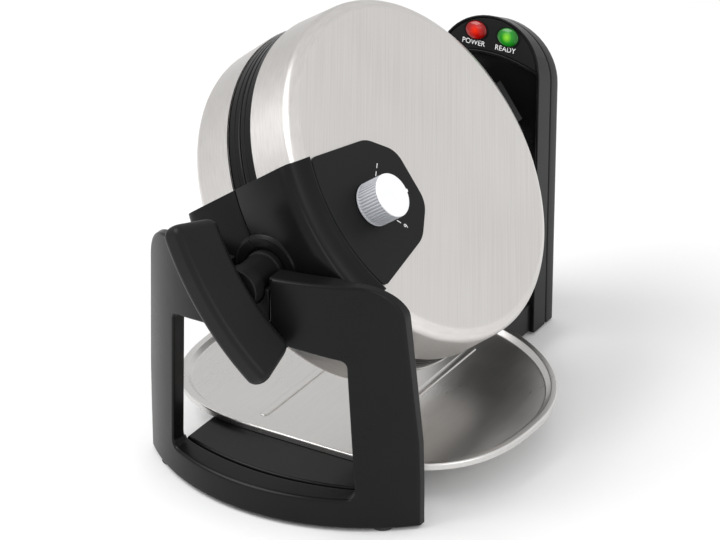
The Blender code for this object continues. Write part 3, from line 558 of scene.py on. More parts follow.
# %% A helper for node trees
def grow(name, sizes, build, finish):
    """Run a Geometry Nodes tree, made by build, and give the result as a mesh in a bmesh."""
    tree = bpy.data.node_groups.new(name, "GeometryNodeTree")
    for label, value in sizes.items():
        kind = "NodeSocketInt" if isinstance(value, int) else "NodeSocketFloat"
        tree.interface.new_socket(label, in_out="INPUT", socket_type=kind)
    tree.interface.new_socket("Geometry", in_out="OUTPUT", socket_type="NodeSocketGeometry")
    source = tree.nodes.new("NodeGroupInput")

    def node(kind, settings=(), *values, **links):
        made = tree.nodes.new(kind)
        for key, value in dict(settings).items():
            setattr(made, key, value)
        for key, value in [*enumerate(values), *links.items()]:
            socket = made.inputs[key if isinstance(key, int) else key.replace("_", " ")]
            if isinstance(value, bpy.types.NodeSocket):
                tree.links.new(value, socket)
            else:
                socket.default_value = value
        return made.outputs

    shape = build(node, source.outputs)
    real = node("GeometryNodeRealizeInstances", Geometry=shape)["Geometry"]
    painted = node("GeometryNodeSetMaterial", Geometry=real, Material=finish.material)["Geometry"]
    tree.links.new(painted, tree.nodes.new("NodeGroupOutput").inputs["Geometry"])
    holder = bpy.data.objects.new(name, bpy.data.meshes.new(name))
    bpy.context.scene.collection.objects.link(holder)
    step = holder.modifiers.new(name, "NODES")
    step.node_group = tree
    for item in tree.interface.items_tree:
        if item.in_out == "INPUT":
            step[item.identifier] = sizes[item.name]
    graph = bpy.context.evaluated_depsgraph_get()
    mesh = bpy.data.meshes.new_from_object(holder.evaluated_get(graph))
    holder.modifiers.clear()
    bpy.data.objects.remove(holder)
    work = bmesh.new()
    work.from_mesh(mesh)
    bpy.data.meshes.remove(mesh)
    print(f"{name}: {len(work.faces)} faces from Geometry Nodes")
    return work


# %% Plates and pegs
WELL_RADIUS = 0.0880
WELL_FLOOR = 0.0128
PLATE_BACK = 0.0165
PLATE_EDGE = 0.0006
PEG_ROOT = 0.0004            # the pegs' bases are sunk this far into the casting
PEG_SIZES = {"Pitch": 0.0185, "Across": 18, "Reach": 0.0797, "Base": 0.0081, "Tip": 0.0057,
             "Height": 0.0106}


def peg_lattice(node, sizes):
    span = node("ShaderNodeMath", {"operation": "MULTIPLY"}, sizes["Pitch"],
                PEG_SIZES["Across"] - 1)["Value"]
    grid = node("GeometryNodeMeshGrid", Size_X=span, Size_Y=span,
                Vertices_X=sizes["Across"], Vertices_Y=sizes["Across"])["Mesh"]
    place = node("GeometryNodeInputPosition")["Position"]
    far = node("ShaderNodeVectorMath", {"operation": "LENGTH"}, Vector=place)["Value"]
    inside = node("FunctionNodeCompare", {"operation": "LESS_THAN"}, A=far, B=sizes["Reach"])["Result"]
    peg = node("GeometryNodeMeshCone", Vertices=4, Radius_Top=sizes["Tip"], Radius_Bottom=sizes["Base"],
               Depth=sizes["Height"])["Mesh"]
    return node("GeometryNodeInstanceOnPoints", Points=grid, Selection=inside, Instance=peg,
                Rotation=(0, 0, pi / 4))["Instances"]


dish = [
    (0, PLATE_BACK), (PLATE_RADIUS, PLATE_BACK), (PLATE_RADIUS, PLATE_EDGE),
    (WELL_RADIUS + 0.004, PLATE_EDGE), (WELL_RADIUS, WELL_FLOOR), (0, WELL_FLOOR),
]
dish = rounded(dish, [0, 0.001, 0.0008, 0.0012, 0.0030, 0], 4, closed=False)
pegs_down = Matrix.Translation((0, 0, WELL_FLOOR + PEG_ROOT)) @ Matrix.Rotation(pi, 4, "X")
for side, body, place in HALVES:
    keep(f"{side}_cast_plate", lathe(dish, 128), body, NON_STICK, place,
         [f"{side}_grid_plate"])
    pegs = moved(grow(f"{side}_pegs", PEG_SIZES, peg_lattice, NON_STICK), pegs_down)
    keep(f"{side}_waffle_pegs", pegs, body, NON_STICK, place, soften=0.0009)

# %% [markdown]
# ## The black noses
# Each half carries a black moulding round its front: a cylinder face, a soft bright edge and a
# shallow hollow that runs back to the panel. Its sides are straight and lean together, so every
# point of its profile is spread between them, which keeps the quads even right to the edges.

# %% Noses with their half collars
NOSE_RADIUS = 0.1274
NOSE_LIP = 0.1052
NOSE_FRONT_HALF = 0.0510     # half the width at the front of the straight sides, and at the panel
NOSE_REAR_HALF = 0.0360
NOSE_COLUMNS = 48
NOSE_CLEAR = 0.0005
PANEL_SHOULDER = -0.0396
SHAFT_RADIUS = 0.0130
COLLAR_RADIUS = 0.0210
COLLAR_BACK = -0.1180
COLLAR_STEP = -0.1276
COLLAR_FRONT = -0.1286
RUNNING_GAP = 0.0004         # air round the shaft


def nose_half(y):
    """Half the width between the nose's straight sides at y."""
    front = -sqrt(NOSE_RADIUS ** 2 - NOSE_FRONT_HALF ** 2)
    narrowing = NOSE_REAR_HALF - NOSE_FRONT_HALF
    return NOSE_FRONT_HALF + narrowing * (y - front) / (PANEL_SHOULDER - front)


def spread(r):
    """The angle from the front at which a circle of radius r meets the nose's side."""
    angle = 0.4
    for _ in range(20):
        angle = asin(nose_half(-r * cos(angle)) / r)
    return angle


under = [(r + NOSE_CLEAR * 0.7, z + NOSE_CLEAR * 0.7) for r, z in cover_line(0)[1:] if r > NOSE_LIP]
nose_ring = [
    (NOSE_LIP, 0.0464), (NOSE_LIP, 0.0472), (0.1066, 0.0475), (0.1090, 0.0463), (0.1125, 0.0450),
    (0.1165, 0.0444), (0.1200, 0.0447), (0.1222, 0.0450), (0.1240, 0.0447), (0.1255, 0.0437),
    (0.1266, 0.0419), (0.1272, 0.0395), (NOSE_RADIUS, 0.0365), (NOSE_RADIUS, 0.0014),
    (0.1270, 0.0005), (0.1262, JOINT_GAP), (SHELL_RADIUS + NOSE_CLEAR, JOINT_GAP), *under[::-1],
]
bore, flange = SHAFT_RADIUS + RUNNING_GAP, COLLAR_RADIUS + 0.0016
collar = [
    (bore, COLLAR_BACK), (flange, COLLAR_BACK), (flange, -0.1268), (COLLAR_RADIUS + 0.0002, COLLAR_STEP),
    (COLLAR_RADIUS, COLLAR_FRONT), (SHAFT_RADIUS + 0.0022, COLLAR_FRONT), (bore, COLLAR_STEP),
]
collar = rounded(collar, [0, 0, 0.0008, 0.0003, 0.0009, 0.0006, 0], 3)


def nose_slice(share):
    """The nose's profile at a share of the way from its middle to one of its sides."""
    turns = [(r, z, share * spread(r)) for r, z in nose_ring]
    return [(r * sin(a), -r * cos(a), z) for r, z, a in turns]


for side, body, place in HALVES:
    bow = loft([nose_slice(2 * i / NOSE_COLUMNS - 1) for i in range(NOSE_COLUMNS + 1)])
    half_ring = moved(lathe(collar, 48, closed=True, start=180.5, sweep=179), ALONG_Y)
    keep(f"{side}_front_moulding", merged(bow, half_ring), body, GLOSS_BLACK, place,
         [f"{side}_nose"], 42, soften=0.0010)

# %% [markdown]
# ## The control panel
# A thin matt plate lies on the lid's face behind the nose. Its front edge follows the nose's
# lip, its sides carry the nose's lines on, and its rear corners are generous arcs.

# %% Control panel
PANEL_LOW = 0.0461
PANEL_FACE = 0.0475
PANEL_REAR = -0.0190
PANEL_GAP = 0.0003
SPINDLE_HOLE = 0.0042


def panel_outline():
    front = NOSE_LIP - PANEL_GAP
    reach = spread(front) * 180 / pi - 0.6
    corner = front * sin(radians(reach)), -front * cos(radians(reach))
    bow = arc((0, 0), front, -90 - reach * 0.78, -90 + reach * 0.78, 20)
    side = nose_half(PANEL_SHOULDER) - PANEL_GAP
    right = [corner, (side, PANEL_SHOULDER), (side - 0.017, PANEL_REAR)]
    left = [(-x, y) for x, y in reversed(right)]
    radii = [0.006, 0.022, 0.016]
    back = rounded([bow[-1], *right, *left, bow[0]], [0, *radii, *radii[::-1], 0], 10, closed=False)
    return bow + back[1:-1]


dial = arc((0, KNOB_Y), SPINDLE_HOLE, 0, 360, 24)[:-1]
keep("control_panel_plate", plate(panel_outline(), [dial], PANEL_LOW, PANEL_FACE, 0.0005), "lid",
     PANEL_GREY, LID, ["control_panel"])

# %% [markdown]
# Six short ticks go round part of the knob, with a number at the first and the last. Ticks
# repeat round an arc, so Geometry Nodes puts them there; the numbers are text made into meshes.

# %% Dial ticks and numbers
TICKS = {"Count": 6, "Radius": 0.0232, "Length": 0.0036, "Width": 0.0006, "Start": radians(38),
         "End": radians(128)}
NUMBER_RADIUS = 0.0290
NUMBER_SIZE = 0.0052


def tick_arc(node, sizes):
    path = node("GeometryNodeMeshLine", {"mode": "OFFSET"}, Count=sizes["Count"], Offset=(0, 0, 0))["Mesh"]
    index = node("GeometryNodeInputIndex")["Index"]
    last = node("ShaderNodeMath", {"operation": "SUBTRACT"}, sizes["Count"], 1)["Value"]
    angle = node("ShaderNodeMapRange", Value=index, From_Max=last, To_Min=sizes["Start"],
                 To_Max=sizes["End"])["Result"]
    turn = node("ShaderNodeCombineXYZ", Z=angle)["Vector"]
    arm = node("ShaderNodeCombineXYZ", X=sizes["Radius"])["Vector"]
    spot = node("ShaderNodeVectorRotate", {"rotation_type": "Z_AXIS"}, Vector=arm, Angle=angle)["Vector"]
    placed = node("GeometryNodeSetPosition", Geometry=path, Position=spot)["Geometry"]
    size = node("ShaderNodeCombineXYZ", X=sizes["Length"], Y=sizes["Width"], Z=0.0002)["Vector"]
    bar = node("GeometryNodeMeshCube", Size=size)["Mesh"]
    return node("GeometryNodeInstanceOnPoints", Points=placed, Instance=bar, Rotation=turn)["Instances"]


def lettering(text, size, place, thickness=0.00008):
    """Words or numbers as a flat mesh, centred, in the plane of place."""
    font = bpy.data.curves.new("lettering", "FONT")
    font.body = text
    font.size = size
    font.extrude = thickness
    font.resolution_u = 3
    font.align_x = "CENTER"
    font.align_y = "CENTER"
    holder = bpy.data.objects.new("lettering", font)
    bpy.context.scene.collection.objects.link(holder)
    graph = bpy.context.evaluated_depsgraph_get()
    mesh = bpy.data.meshes.new_from_object(holder.evaluated_get(graph))
    bpy.data.objects.remove(holder)
    work = bmesh.new()
    work.from_mesh(mesh)
    bpy.data.meshes.remove(mesh)
    return moved(work, place)


dial_place = Matrix.Translation((0, KNOB_Y, PANEL_FACE))
marks = moved(grow("dial_ticks", TICKS, tick_arc, WHITE_INK), dial_place)
for number, angle in (("6", TICKS["Start"]), ("1", TICKS["End"])):
    spot = Matrix.Rotation(angle, 4, "Z") @ Matrix.Translation((NUMBER_RADIUS, 0, 0.00010))
    facing = dial_place @ spot @ Matrix.Rotation(-pi / 2, 4, "Z")
    marks = merged(marks, lettering(number, NUMBER_SIZE, facing))
keep("dial_marks", marks, "lid", WHITE_INK, LID)

# %% [markdown]
# ## The knob
# The knob is a ribbed silver drum with a cap, whose small raised pointer shows the setting.
# The cap takes the paler silver, painted light on the top, and the drum the darker one, painted
# shade on the side.
# The ribs are one thin rod repeated round a circle by Geometry Nodes.

# %% Knob
KNOB_RADIUS = 0.0143
KNOB_LOW = PANEL_FACE + 0.0006
KNOB_TOP = KNOB_LOW + 0.0180
POINTER_TURN = radians(-12)
RIBS = {"Count": 44, "Radius": KNOB_RADIUS - 0.0005, "Thickness": 0.00055, "Height": 0.0152}


def rib_ring(node, sizes):
    ring = node("GeometryNodeMeshCircle", Vertices=sizes["Count"], Radius=sizes["Radius"])["Mesh"]
    rod = node("GeometryNodeMeshCylinder", Vertices=8, Radius=sizes["Thickness"],
               Depth=sizes["Height"])["Mesh"]
    return node("GeometryNodeInstanceOnPoints", Points=ring, Instance=rod)["Instances"]


knob_place = LID @ Matrix.Translation((0, KNOB_Y, 0))
bore, wall, cap_low = 0.0033, KNOB_RADIUS - 0.0007, KNOB_TOP - 0.0014
drum = [
    (bore, KNOB_LOW + 0.012), (bore, KNOB_LOW), (KNOB_RADIUS, KNOB_LOW), (KNOB_RADIUS, KNOB_LOW + 0.0012),
    (wall, KNOB_LOW + 0.0016), (wall, cap_low), (0, cap_low),
]
# the drum and its ribs take the darker silver: painted shade on the knob's side
keep("knob_drum", lathe(rounded(drum, [0, 0.0003, 0.0004, 0.0003, 0.0002, 0.0003, 0], 3, closed=False), 96),
     "knob", KNOB_SIDE_PAINTED_SHADE, knob_place, ["browning_knob"])
ribs = grow("knob_ribs_tree", RIBS, rib_ring, KNOB_SIDE_PAINTED_SHADE)
ribs = moved(ribs, Matrix.Translation((0, 0, KNOB_LOW + 0.0090)))
keep("knob_ribs", ribs, "knob", KNOB_SIDE_PAINTED_SHADE, knob_place)
# the cap and its pointer take the paler silver: painted light on the knob's top
cap = [
    (wall, cap_low), (KNOB_RADIUS - 0.0001, KNOB_TOP - 0.0012),
    (KNOB_RADIUS - 0.0002, KNOB_TOP - 0.0004), (KNOB_RADIUS - 0.0012, KNOB_TOP), (0, KNOB_TOP),
]
cap = lathe(rounded(cap, [0, 0.0002, 0.0006, 0.0006, 0], 4, closed=False)[::-1], 96)
tip = KNOB_RADIUS - 0.0002
pointer = rounded([(-0.0014, 0.0086), (0.0014, 0.0086), (0.0010, tip), (-0.0010, tip)], 0.0004)
pointer = plate(pointer, [], KNOB_TOP - 0.0006, KNOB_TOP + 0.0005, 0.0003)
pointer = moved(pointer, Matrix.Rotation(POINTER_TURN, 4, "Z"))
keep("knob_cap", merged(cap, pointer), "knob", KNOB_TOP_PAINTED_LIGHT, knob_place)

# %% [markdown]
# ## Shaft and handle
# A stub shaft comes out of the front and carries a bowed grip, thick where the fingers curl
# round its back and thin in front. The grip is a loft: one soft-cornered section carried along
# an arc, and drawn in over the last few millimetres so that its ends are pillowed.

# %% Front shaft and handle
HANDLE_CENTRE = -0.0220
HANDLE_INNER = 0.1390
HANDLE_OUTER = 0.1730
HANDLE_HALF = 0.0545
GRIP_THICK = 0.0120          # half its height at the back, where the fingers curl round, and in front
GRIP_THIN = 0.0072
END_ROLL = 0.0068
SHAFT_BACK, SHAFT_FRONT = -0.1172, -0.1600

neck = SHAFT_RADIUS - 0.0010
shaft = [
    (0, SHAFT_BACK), (SHAFT_RADIUS, SHAFT_BACK), (SHAFT_RADIUS, -0.1312), (neck, -0.1318),
    (neck, -0.1500), (SHAFT_RADIUS, -0.1506), (SHAFT_RADIUS, SHAFT_FRONT), (0, SHAFT_FRONT),
]
shaft = lathe(rounded(shaft, [0, 0, 0.0003, 0.0003, 0.0003, 0.0003, 0.0010, 0], 3, closed=False)[::-1], 64)
keep("front_shaft_tube", moved(shaft, ALONG_Y), "lower_half", SOFT_BLACK, LOWER,
     ["front_shaft"])


def grip_section(pull):
    """The grip's cross-section of (radius, height), drawn in by pull on every side."""
    rear, front = HANDLE_INNER + pull, HANDLE_OUTER - pull
    thick, thin = GRIP_THICK - pull, GRIP_THIN - pull
    corners = [(rear, thick), (front, thin), (front, -thin), (rear, -thick)]
    return rounded(corners, [0.0056, 0.0048, 0.0048, 0.0056], 8)


def grip():
    """The grip's sections set along its arc, closer together towards the ends."""
    loops = []
    count = 56
    stretch = asin(HANDLE_HALF / (HANDLE_OUTER - 0.004))
    for i in range(count + 1):
        turn = pi * i / count
        share = -cos(turn)
        place = share * stretch
        left = (1 - abs(share)) * stretch * HANDLE_OUTER
        pull = 0.0
        if left < END_ROLL:
            pull = END_ROLL * 0.72 * (1 - sqrt(max(0, 1 - (1 - left / END_ROLL) ** 2)))
        section = grip_section(pull)
        loops.append([(r * sin(place), HANDLE_CENTRE - r * cos(place), z) for r, z in section])
    return loft(loops)


keep("bowed_handle", grip(), "lower_half", SOFT_BLACK, LOWER, ["handle"], 60)

# %% [markdown]
# ## The front stand
# The stand is one thick curved plate with a window, standing on its lower edge. It is easiest
# to draw flat, seen from the front, with every edge rounded, then sliced into upright strips and
# bent between the outer and the inner arc of its plan.

# %% Front stand
STAND_RADIUS = 0.1411
STAND_CENTRE = -0.0117
STAND_HALF = 0.0997
STAND_INNER_MIDDLE = -0.1360
STAND_END_Y = -0.1045
FOOT = 0.0020
FLAT_DEPTH = 0.0120
NOTCH_HALF = 0.0165
NOTCH_FLOOR = 0.1405
SILL_Z, SILL_BAND, SILL_HALF = 0.0225, 0.0060, 0.066
SILL_LIFT = 0.0022           # how much the window's lower edge rises towards the back
RELIEF_LOW, RELIEF_RISE = 0.150, 0.018
RELIEF_X, RELIEF_RUN = 0.052, 0.014
RELIEF_DEPTH = 0.0050        # how much the upper corners are thinned to clear the turning disc
STRIP = 0.004

rise = STAND_END_Y - STAND_INNER_MIDDLE
inner_radius = (STAND_HALF ** 2 + rise ** 2) / (2 * rise)
inner_centre = STAND_INNER_MIDDLE + inner_radius


def stand_bend(x, z, depth):
    """From the flat drawing to the curved stand; depth runs from the front to the back face."""
    share = depth / FLAT_DEPTH
    outer = STAND_CENTRE - sqrt(STAND_RADIUS ** 2 - x ** 2)
    inner = inner_centre - sqrt(inner_radius ** 2 - x ** 2)
    sill = max(0, 1 - abs(z - SILL_Z) / SILL_BAND) * (abs(x) < SILL_HALF)
    high = min(1, max(0, (z - RELIEF_LOW) / RELIEF_RISE))
    wide = min(1, max(0, (abs(x) - RELIEF_X) / RELIEF_RUN))
    inner = inner - RELIEF_DEPTH * (high * wide)
    return (x, outer + share * (inner - outer), z + sill * share * SILL_LIFT)


def stand_outline():
    shoulder = arc((0.0655, 0.1436), 0.0270, 3, 90, 14)
    notch = rounded([(NOTCH_HALF, 0.1706), (NOTCH_HALF, NOTCH_FLOOR), (-NOTCH_HALF, NOTCH_FLOOR),
                     (-NOTCH_HALF, 0.1706)], [0, 0.003, 0.003, 0], 4, closed=False)
    right = [(STAND_HALF, FOOT), (STAND_HALF, 0.030), (STAND_HALF - 0.0006, 0.060), *shoulder]
    return right + notch + [(-x, z) for x, z in reversed(right)]


def window_outline():
    head = [(0.0625, 0.1190), (0.0530, 0.1209), (0.0400, 0.1236), (0.0200, 0.1270), (0, 0.1282)]
    right = [(0.0670, 0.0220), *head]
    corners = right + [(-x, z) for x, z in reversed(right[:-1])]
    radii = [0.005, 0.005, 0.02, 0.03, 0.04]
    return rounded(corners, [*radii, 0.04, *radii[::-1]], 6)


stand = plate(stand_outline(), [window_outline()], 0, FLAT_DEPTH, 0.0020, 5)
sliced(stand, (1, 0, 0), [i * STRIP for i in range(-24, 25)])
sliced(stand, (0, 1, 0), [SILL_Z - SILL_BAND, SILL_Z, SILL_Z + SILL_BAND])
sliced(stand, (0, 1, 0), [RELIEF_LOW, RELIEF_LOW + 0.006, RELIEF_LOW + 0.012])
bent(stand, stand_bend)
keep("curved_front_stand", stand, "base", GLOSS_BLACK, STAND, ["front_stand"], 50)

# %% [markdown]
# In the stand's notch sits a block with a round seat, on which the shaft turns.

# %% Bearing saddle
AXIS_HEIGHT = CENTRE.z
SADDLE_FRONT = -0.1512
SADDLE_GAP = 0.0003
seat = arc((0, AXIS_HEIGHT), SHAFT_RADIUS + RUNNING_GAP, 0, -180, 24)
half, under_side = NOTCH_HALF - SADDLE_GAP, NOTCH_FLOOR + SADDLE_GAP
block = [*seat, (-half, AXIS_HEIGHT), (-half, under_side), (half, under_side), (half, AXIS_HEIGHT)]
saddle = moved(plate(block, [], SADDLE_FRONT, STAND_INNER_MIDDLE, 0.0008), UPRIGHT)
keep("shaft_saddle", saddle, "base", SOFT_BLACK, STAND, ["bearing_saddle"], 50)

# %% [markdown]
# ## The rear column
# The column is a tall arch in gloss black, whose top drops towards the back. A thin rim frames a
# sunk front, and above a curved brow the face leans back to carry the lamps. All of it is drawn
# flat, and one rule then leans and lowers every point.

# %% Column
COLUMN_HALF = 0.0385
COLUMN_FRONT = 0.1475
COLUMN_SPLIT = 0.1640
COLUMN_BACK = 0.1790
COLUMN_TOP = 0.2290
ARCH = COLUMN_TOP - COLUMN_HALF                  # where the sides end and the round top begins
CREASE = 0.1970
BROW_TOP, BROW_DROP = 0.2020, 0.0070             # the brow's height in the middle, and its fall
BROW_REACH = 0.035                               # from the middle to where it has fallen that far
BROW_HALF = 0.0352
RIM_WIDTH = 0.0020
RIDGE_HALF = 0.0011
SUNK_LOW, SUNK_CORNER = 0.034, 0.004
SUNK_DEPTH, SUNK_BACK = 0.0032, 0.0045
LAMP_SLANT = radians(15)
FALL = 0.45                  # how far the arch drops for each metre of depth
KEPT = 1 / (1 + FALL * tan(LAMP_SLANT))          # share of a drawn height that is left by the fall
STEEP = KEPT * tan(LAMP_SLANT)                   # lean of the face for each metre drawn


def arch(half, low):
    return [(half, low), *arc((0, ARCH), half, 0, 180, 28), (-half, low)]


def fall(x, z, y):
    """Lower the arch, but not the straight sides, in step with the depth."""
    return (x, y, z - (y - COLUMN_FRONT) * FALL if z > ARCH - 0.0005 else z)


def lean(x, z, y):
    """Lean the front face back above the crease; the rear joint stays upright."""
    back = max(0.0, z - CREASE) * STEEP
    share = min(1.0, max(0.0, (COLUMN_SPLIT - y) / (COLUMN_SPLIT - COLUMN_FRONT)))
    return fall(x, z, y + back * share)


def brow(x):
    """Height of the curved ridge between the sunk front and the lamp face."""
    return BROW_TOP - BROW_DROP * (x / BROW_REACH) ** 2


inner_half = COLUMN_HALF - RIM_WIDTH
frame_arc = arc((0, ARCH), inner_half, 0, 180, 44)
brow_steps = [-BROW_HALF + 2 * BROW_HALF * i / 16 for i in range(17)]
lamp_field = [(x, z) for x, z in frame_arc if z > brow(x) + RIDGE_HALF]
lamp_field += [(x, brow(x) + RIDGE_HALF) for x in brow_steps]
right = [(inner_half, SUNK_LOW)]
right += [(x, z) for x, z in frame_arc if x > 0 and z < brow(x) - RIDGE_HALF]
right += [(x, brow(x) - RIDGE_HALF) for x in brow_steps[:8:-1]]
sunk_field = [*right, (0, brow(0) - RIDGE_HALF), *[(-x, z) for x, z in reversed(right)]]
sunk_field = rounded(sunk_field, [SUNK_CORNER] + [0] * (len(sunk_field) - 2) + [SUNK_CORNER], 5)

rim = plate(arch(COLUMN_HALF, FOOT), [lamp_field, sunk_field], COLUMN_FRONT, COLUMN_SPLIT, 0.0008, 4)
sliced(rim, (0, 1, 0), [CREASE, CREASE + 0.01, CREASE + 0.02])
sunk_plate = plate(arch(COLUMN_HALF - 0.0012, FOOT + 0.004), [], COLUMN_FRONT + SUNK_DEPTH,
                   COLUMN_FRONT + SUNK_BACK, 0.0003)
sliced(sunk_plate, (0, 1, 0), [CREASE])
column = bent(merged(rim, sunk_plate), lean)
keep("rear_column_front", column, "base", GLOSS_BLACK, STAND, ["rear_column"], 50)

# %% [markdown]
# The rear half is a tub with well-rounded back edges, held by four screws. Below it the rubber
# bush marks where a supply cord would enter.

# %% Column back
INLET_RADIUS = 0.0069
EDGE_DEPTH = 0.0060          # how far from the back face its soft edge begins
EDGE_PULL = 0.0042
inlet_low, inlet_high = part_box("cord_inlet")
inlet_middle = (inlet_low + inlet_high) / 2
inlet_hole = arc((inlet_middle.x, inlet_middle.z), INLET_RADIUS, 0, 360, 32)[:-1]
tub = plate(arch(COLUMN_HALF, FOOT), [inlet_hole], COLUMN_SPLIT + 0.0003, COLUMN_BACK, 0.0016, 3)


def round_back(x, z, y):
    """Pull the outline in towards the back face, as a large soft edge, and let the arch fall."""
    depth = max(0.0, (y - (COLUMN_BACK - EDGE_DEPTH)) / EDGE_DEPTH)
    pull = EDGE_PULL * depth ** 2
    edge = abs(x) / COLUMN_HALF if z < ARCH else hypot(x, z - ARCH) / COLUMN_HALF
    if edge < 0.90:
        return fall(x, z, y)
    shrink = 1 - pull / COLUMN_HALF
    return fall(x * shrink, ARCH + (z - ARCH) * shrink if z > ARCH else z, y)


tub = sliced(tub, (0, 0, 1), [COLUMN_BACK - depth for depth in (EDGE_DEPTH, 0.0040, 0.0025)])
tub = bent(tub, round_back)
keep("column_back_tub", tub, "base", GLOSS_BLACK, STAND, ["back_cover"], 50)

# %% Screws in the column's back
SCREWS = {"Width": 0.050, "Height": 0.122, "Radius": 0.0034, "Crown": 0.0026, "Depth": 0.0016}
SCREWS_MIDDLE = 0.112


def screw_grid(node, sizes):
    """A pan-head screw at each corner of a rectangle."""
    grid = node("GeometryNodeMeshGrid", Size_X=sizes["Width"], Size_Y=sizes["Height"], Vertices_X=2,
                Vertices_Y=2)["Mesh"]
    head = node("GeometryNodeMeshCone", Vertices=24, Radius_Top=sizes["Crown"], Radius_Bottom=sizes["Radius"],
                Depth=sizes["Depth"])["Mesh"]
    return node("GeometryNodeInstanceOnPoints", Points=grid, Instance=head)["Instances"]


screws = grow("back_screws", SCREWS, screw_grid, BRIGHT_STEEL)
on_back = STAND @ Matrix.Translation((0, COLUMN_BACK + 0.0002, SCREWS_MIDDLE)) @ ALONG_Y
keep("column_back_screws", screws, "base", BRIGHT_STEEL, on_back, soften=0.0002)

# %% [markdown]
# ## Lamps
# The lamp face is a matt plate let into the column's top, leaning back. Two oval caps stand
# through it, red for power and green for ready, each in a dark ring, with its word below.

# %% Lamp face, lamps and words
LAMP_X = 0.0120
LAMP_Z = 0.2140
LAMP_RADIUS = 0.0070
LAMP_WIDE, LAMP_TALL = 0.0078, 0.0061
LAMP_GAP = 0.0003
LENS_RISE, LENS_SEAT, LENS_BACK = 0.0018, 0.0006, -0.0030
WORD_Z = 0.2058
WORD_SIZE = 0.0050
WORD_SHIFT = -0.0009
FACE_DEPTH, FACE_BACK = 0.0006, 0.0030
OVAL = Matrix.Diagonal((LAMP_WIDE / LAMP_RADIUS, LAMP_TALL / LAMP_RADIUS, 1, 1))


def lamp_frame(x, z):
    """A place on the lamp face: X across, Y up the face and Z out of it."""
    y = COLUMN_FRONT + FACE_DEPTH + (z - CREASE) * tan(LAMP_SLANT)
    return STAND @ Matrix.Translation((x, y, z)) @ Matrix.Rotation(pi / 2 - LAMP_SLANT, 4, "X")


for name, x, finish_name, middle, rim, slot in (
        ("power", -LAMP_X, "glowing_red_lens", (0.66, 0.022, 0.006), (0.32, 0.003, 0.002), "red_lens"),
        ("ready", LAMP_X, "glowing_green_lens", (0.17, 0.50, 0.018), (0.008, 0.20, 0.010), "green_lens")):
    place = lamp_frame(x, LAMP_Z)
    finish = lamp(finish_name, place @ Vector((0, 0, 0.0016)), middle, rim, LAMP_RADIUS)
    turns = [radians(a) for a in range(81, -1, -9)]
    dome = [(LAMP_RADIUS * cos(a), LENS_RISE * sin(a) + LENS_SEAT) for a in turns]
    lens = lathe([(0, LENS_RISE + LENS_SEAT), *dome, (LAMP_RADIUS, LENS_BACK), (0, LENS_BACK)], 64)
    keep(f"{name}_lamp_cap", lens, "base", finish, place @ OVAL, [f"{name}_lens"], 50)
    inner = LAMP_RADIUS + LAMP_GAP
    ring = rounded([(inner, -0.0008), (LAMP_RADIUS + 0.0012, -0.0008), (LAMP_RADIUS + 0.0010, 0.0007),
                    (inner, 0.0007)], 0.0002)
    keep(f"{name}_lamp_ring", lathe(ring, 64, closed=True), "base", GLOSS_BLACK,
         place @ OVAL)


def lamp_opening(side):
    """The oval hole for a lamp, on the flat drawing of the face."""
    wide, tall = LAMP_WIDE + LAMP_GAP, (LAMP_TALL + LAMP_GAP) * cos(LAMP_SLANT) / KEPT
    middle = CREASE + (LAMP_Z - CREASE) / KEPT
    return [(side * LAMP_X + wide * x, middle + tall * z) for x, z in arc((0, 0), 1, 0, 360, 40)[:-1]]


face = plate(inset(lamp_field, 0.0003), [lamp_opening(-1), lamp_opening(1)], COLUMN_FRONT + FACE_DEPTH,
             COLUMN_FRONT + FACE_BACK, 0.0003)
keep("lamp_face_plate", bent(face, lean), "base", PANEL_GREY, STAND, ["indicator_panel"])
words = merged(lettering("POWER", WORD_SIZE, lamp_frame(-LAMP_X + WORD_SHIFT, WORD_Z)),
               lettering("READY", WORD_SIZE, lamp_frame(LAMP_X + WORD_SHIFT, WORD_Z)))
keep("lamp_words", words, "base", WHITE_INK)

# %% [markdown]
# ## Base and tray
# A flat box ties the stand to the column, and the tray lies on it. The tray is pressed from one
# sheet: a rolled rim, a step down to the floor, and two long raised ribs that stiffen it. It is
# a loft of the same plan drawn in step by step.

# %% Base box
BASE_WAIST = 0.060
BASE_SLIM = 0.0360
BASE_WIDE = 0.064
BASE_REAR = 0.1470
SEAM_GAP = 0.0003
base_low, base_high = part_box("base_frame")
across = [i * 0.008 for i in range(-8, 9)]
seam = [(x, inner_centre - sqrt(inner_radius ** 2 - x ** 2) + SEAM_GAP) for x in across]
right = [(BASE_WIDE, -BASE_WAIST), (BASE_SLIM, BASE_WAIST), (BASE_SLIM, BASE_REAR)]
plan = [*seam, *right, *[(-x, y) for x, y in reversed(right)]]
plan = rounded(plan, [0] * len(seam) + [0.020, 0.020, 0, 0, 0.020, 0.020], 5)
keep("base_box", plate(plan, [], base_low.z, base_high.z, 0.0015), "base", GLOSS_BLACK,
     STAND, ["base_frame"])

# %% Drip tray
TRAY_HALF = 0.1235
TRAY_FRONT = -0.0985
TRAY_BOW = 0.1015
TRAY_BACK = 0.1077
FULLNESS = 2.8
TRAY_SOFT = 0.0012           # how gently the front curve passes into its straight cut
TRAY_LOW, TRAY_RIM = [corner.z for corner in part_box("drip_tray")]
TRAY_FLOOR = TRAY_LOW + 0.0012
FLOOR_INSET = 0.0110
RIB_X = 0.0353
RIB_FRONT, RIB_REAR = -0.080, 0.070
RIB_HALF = 0.0032
RIB_RISE = 0.0009


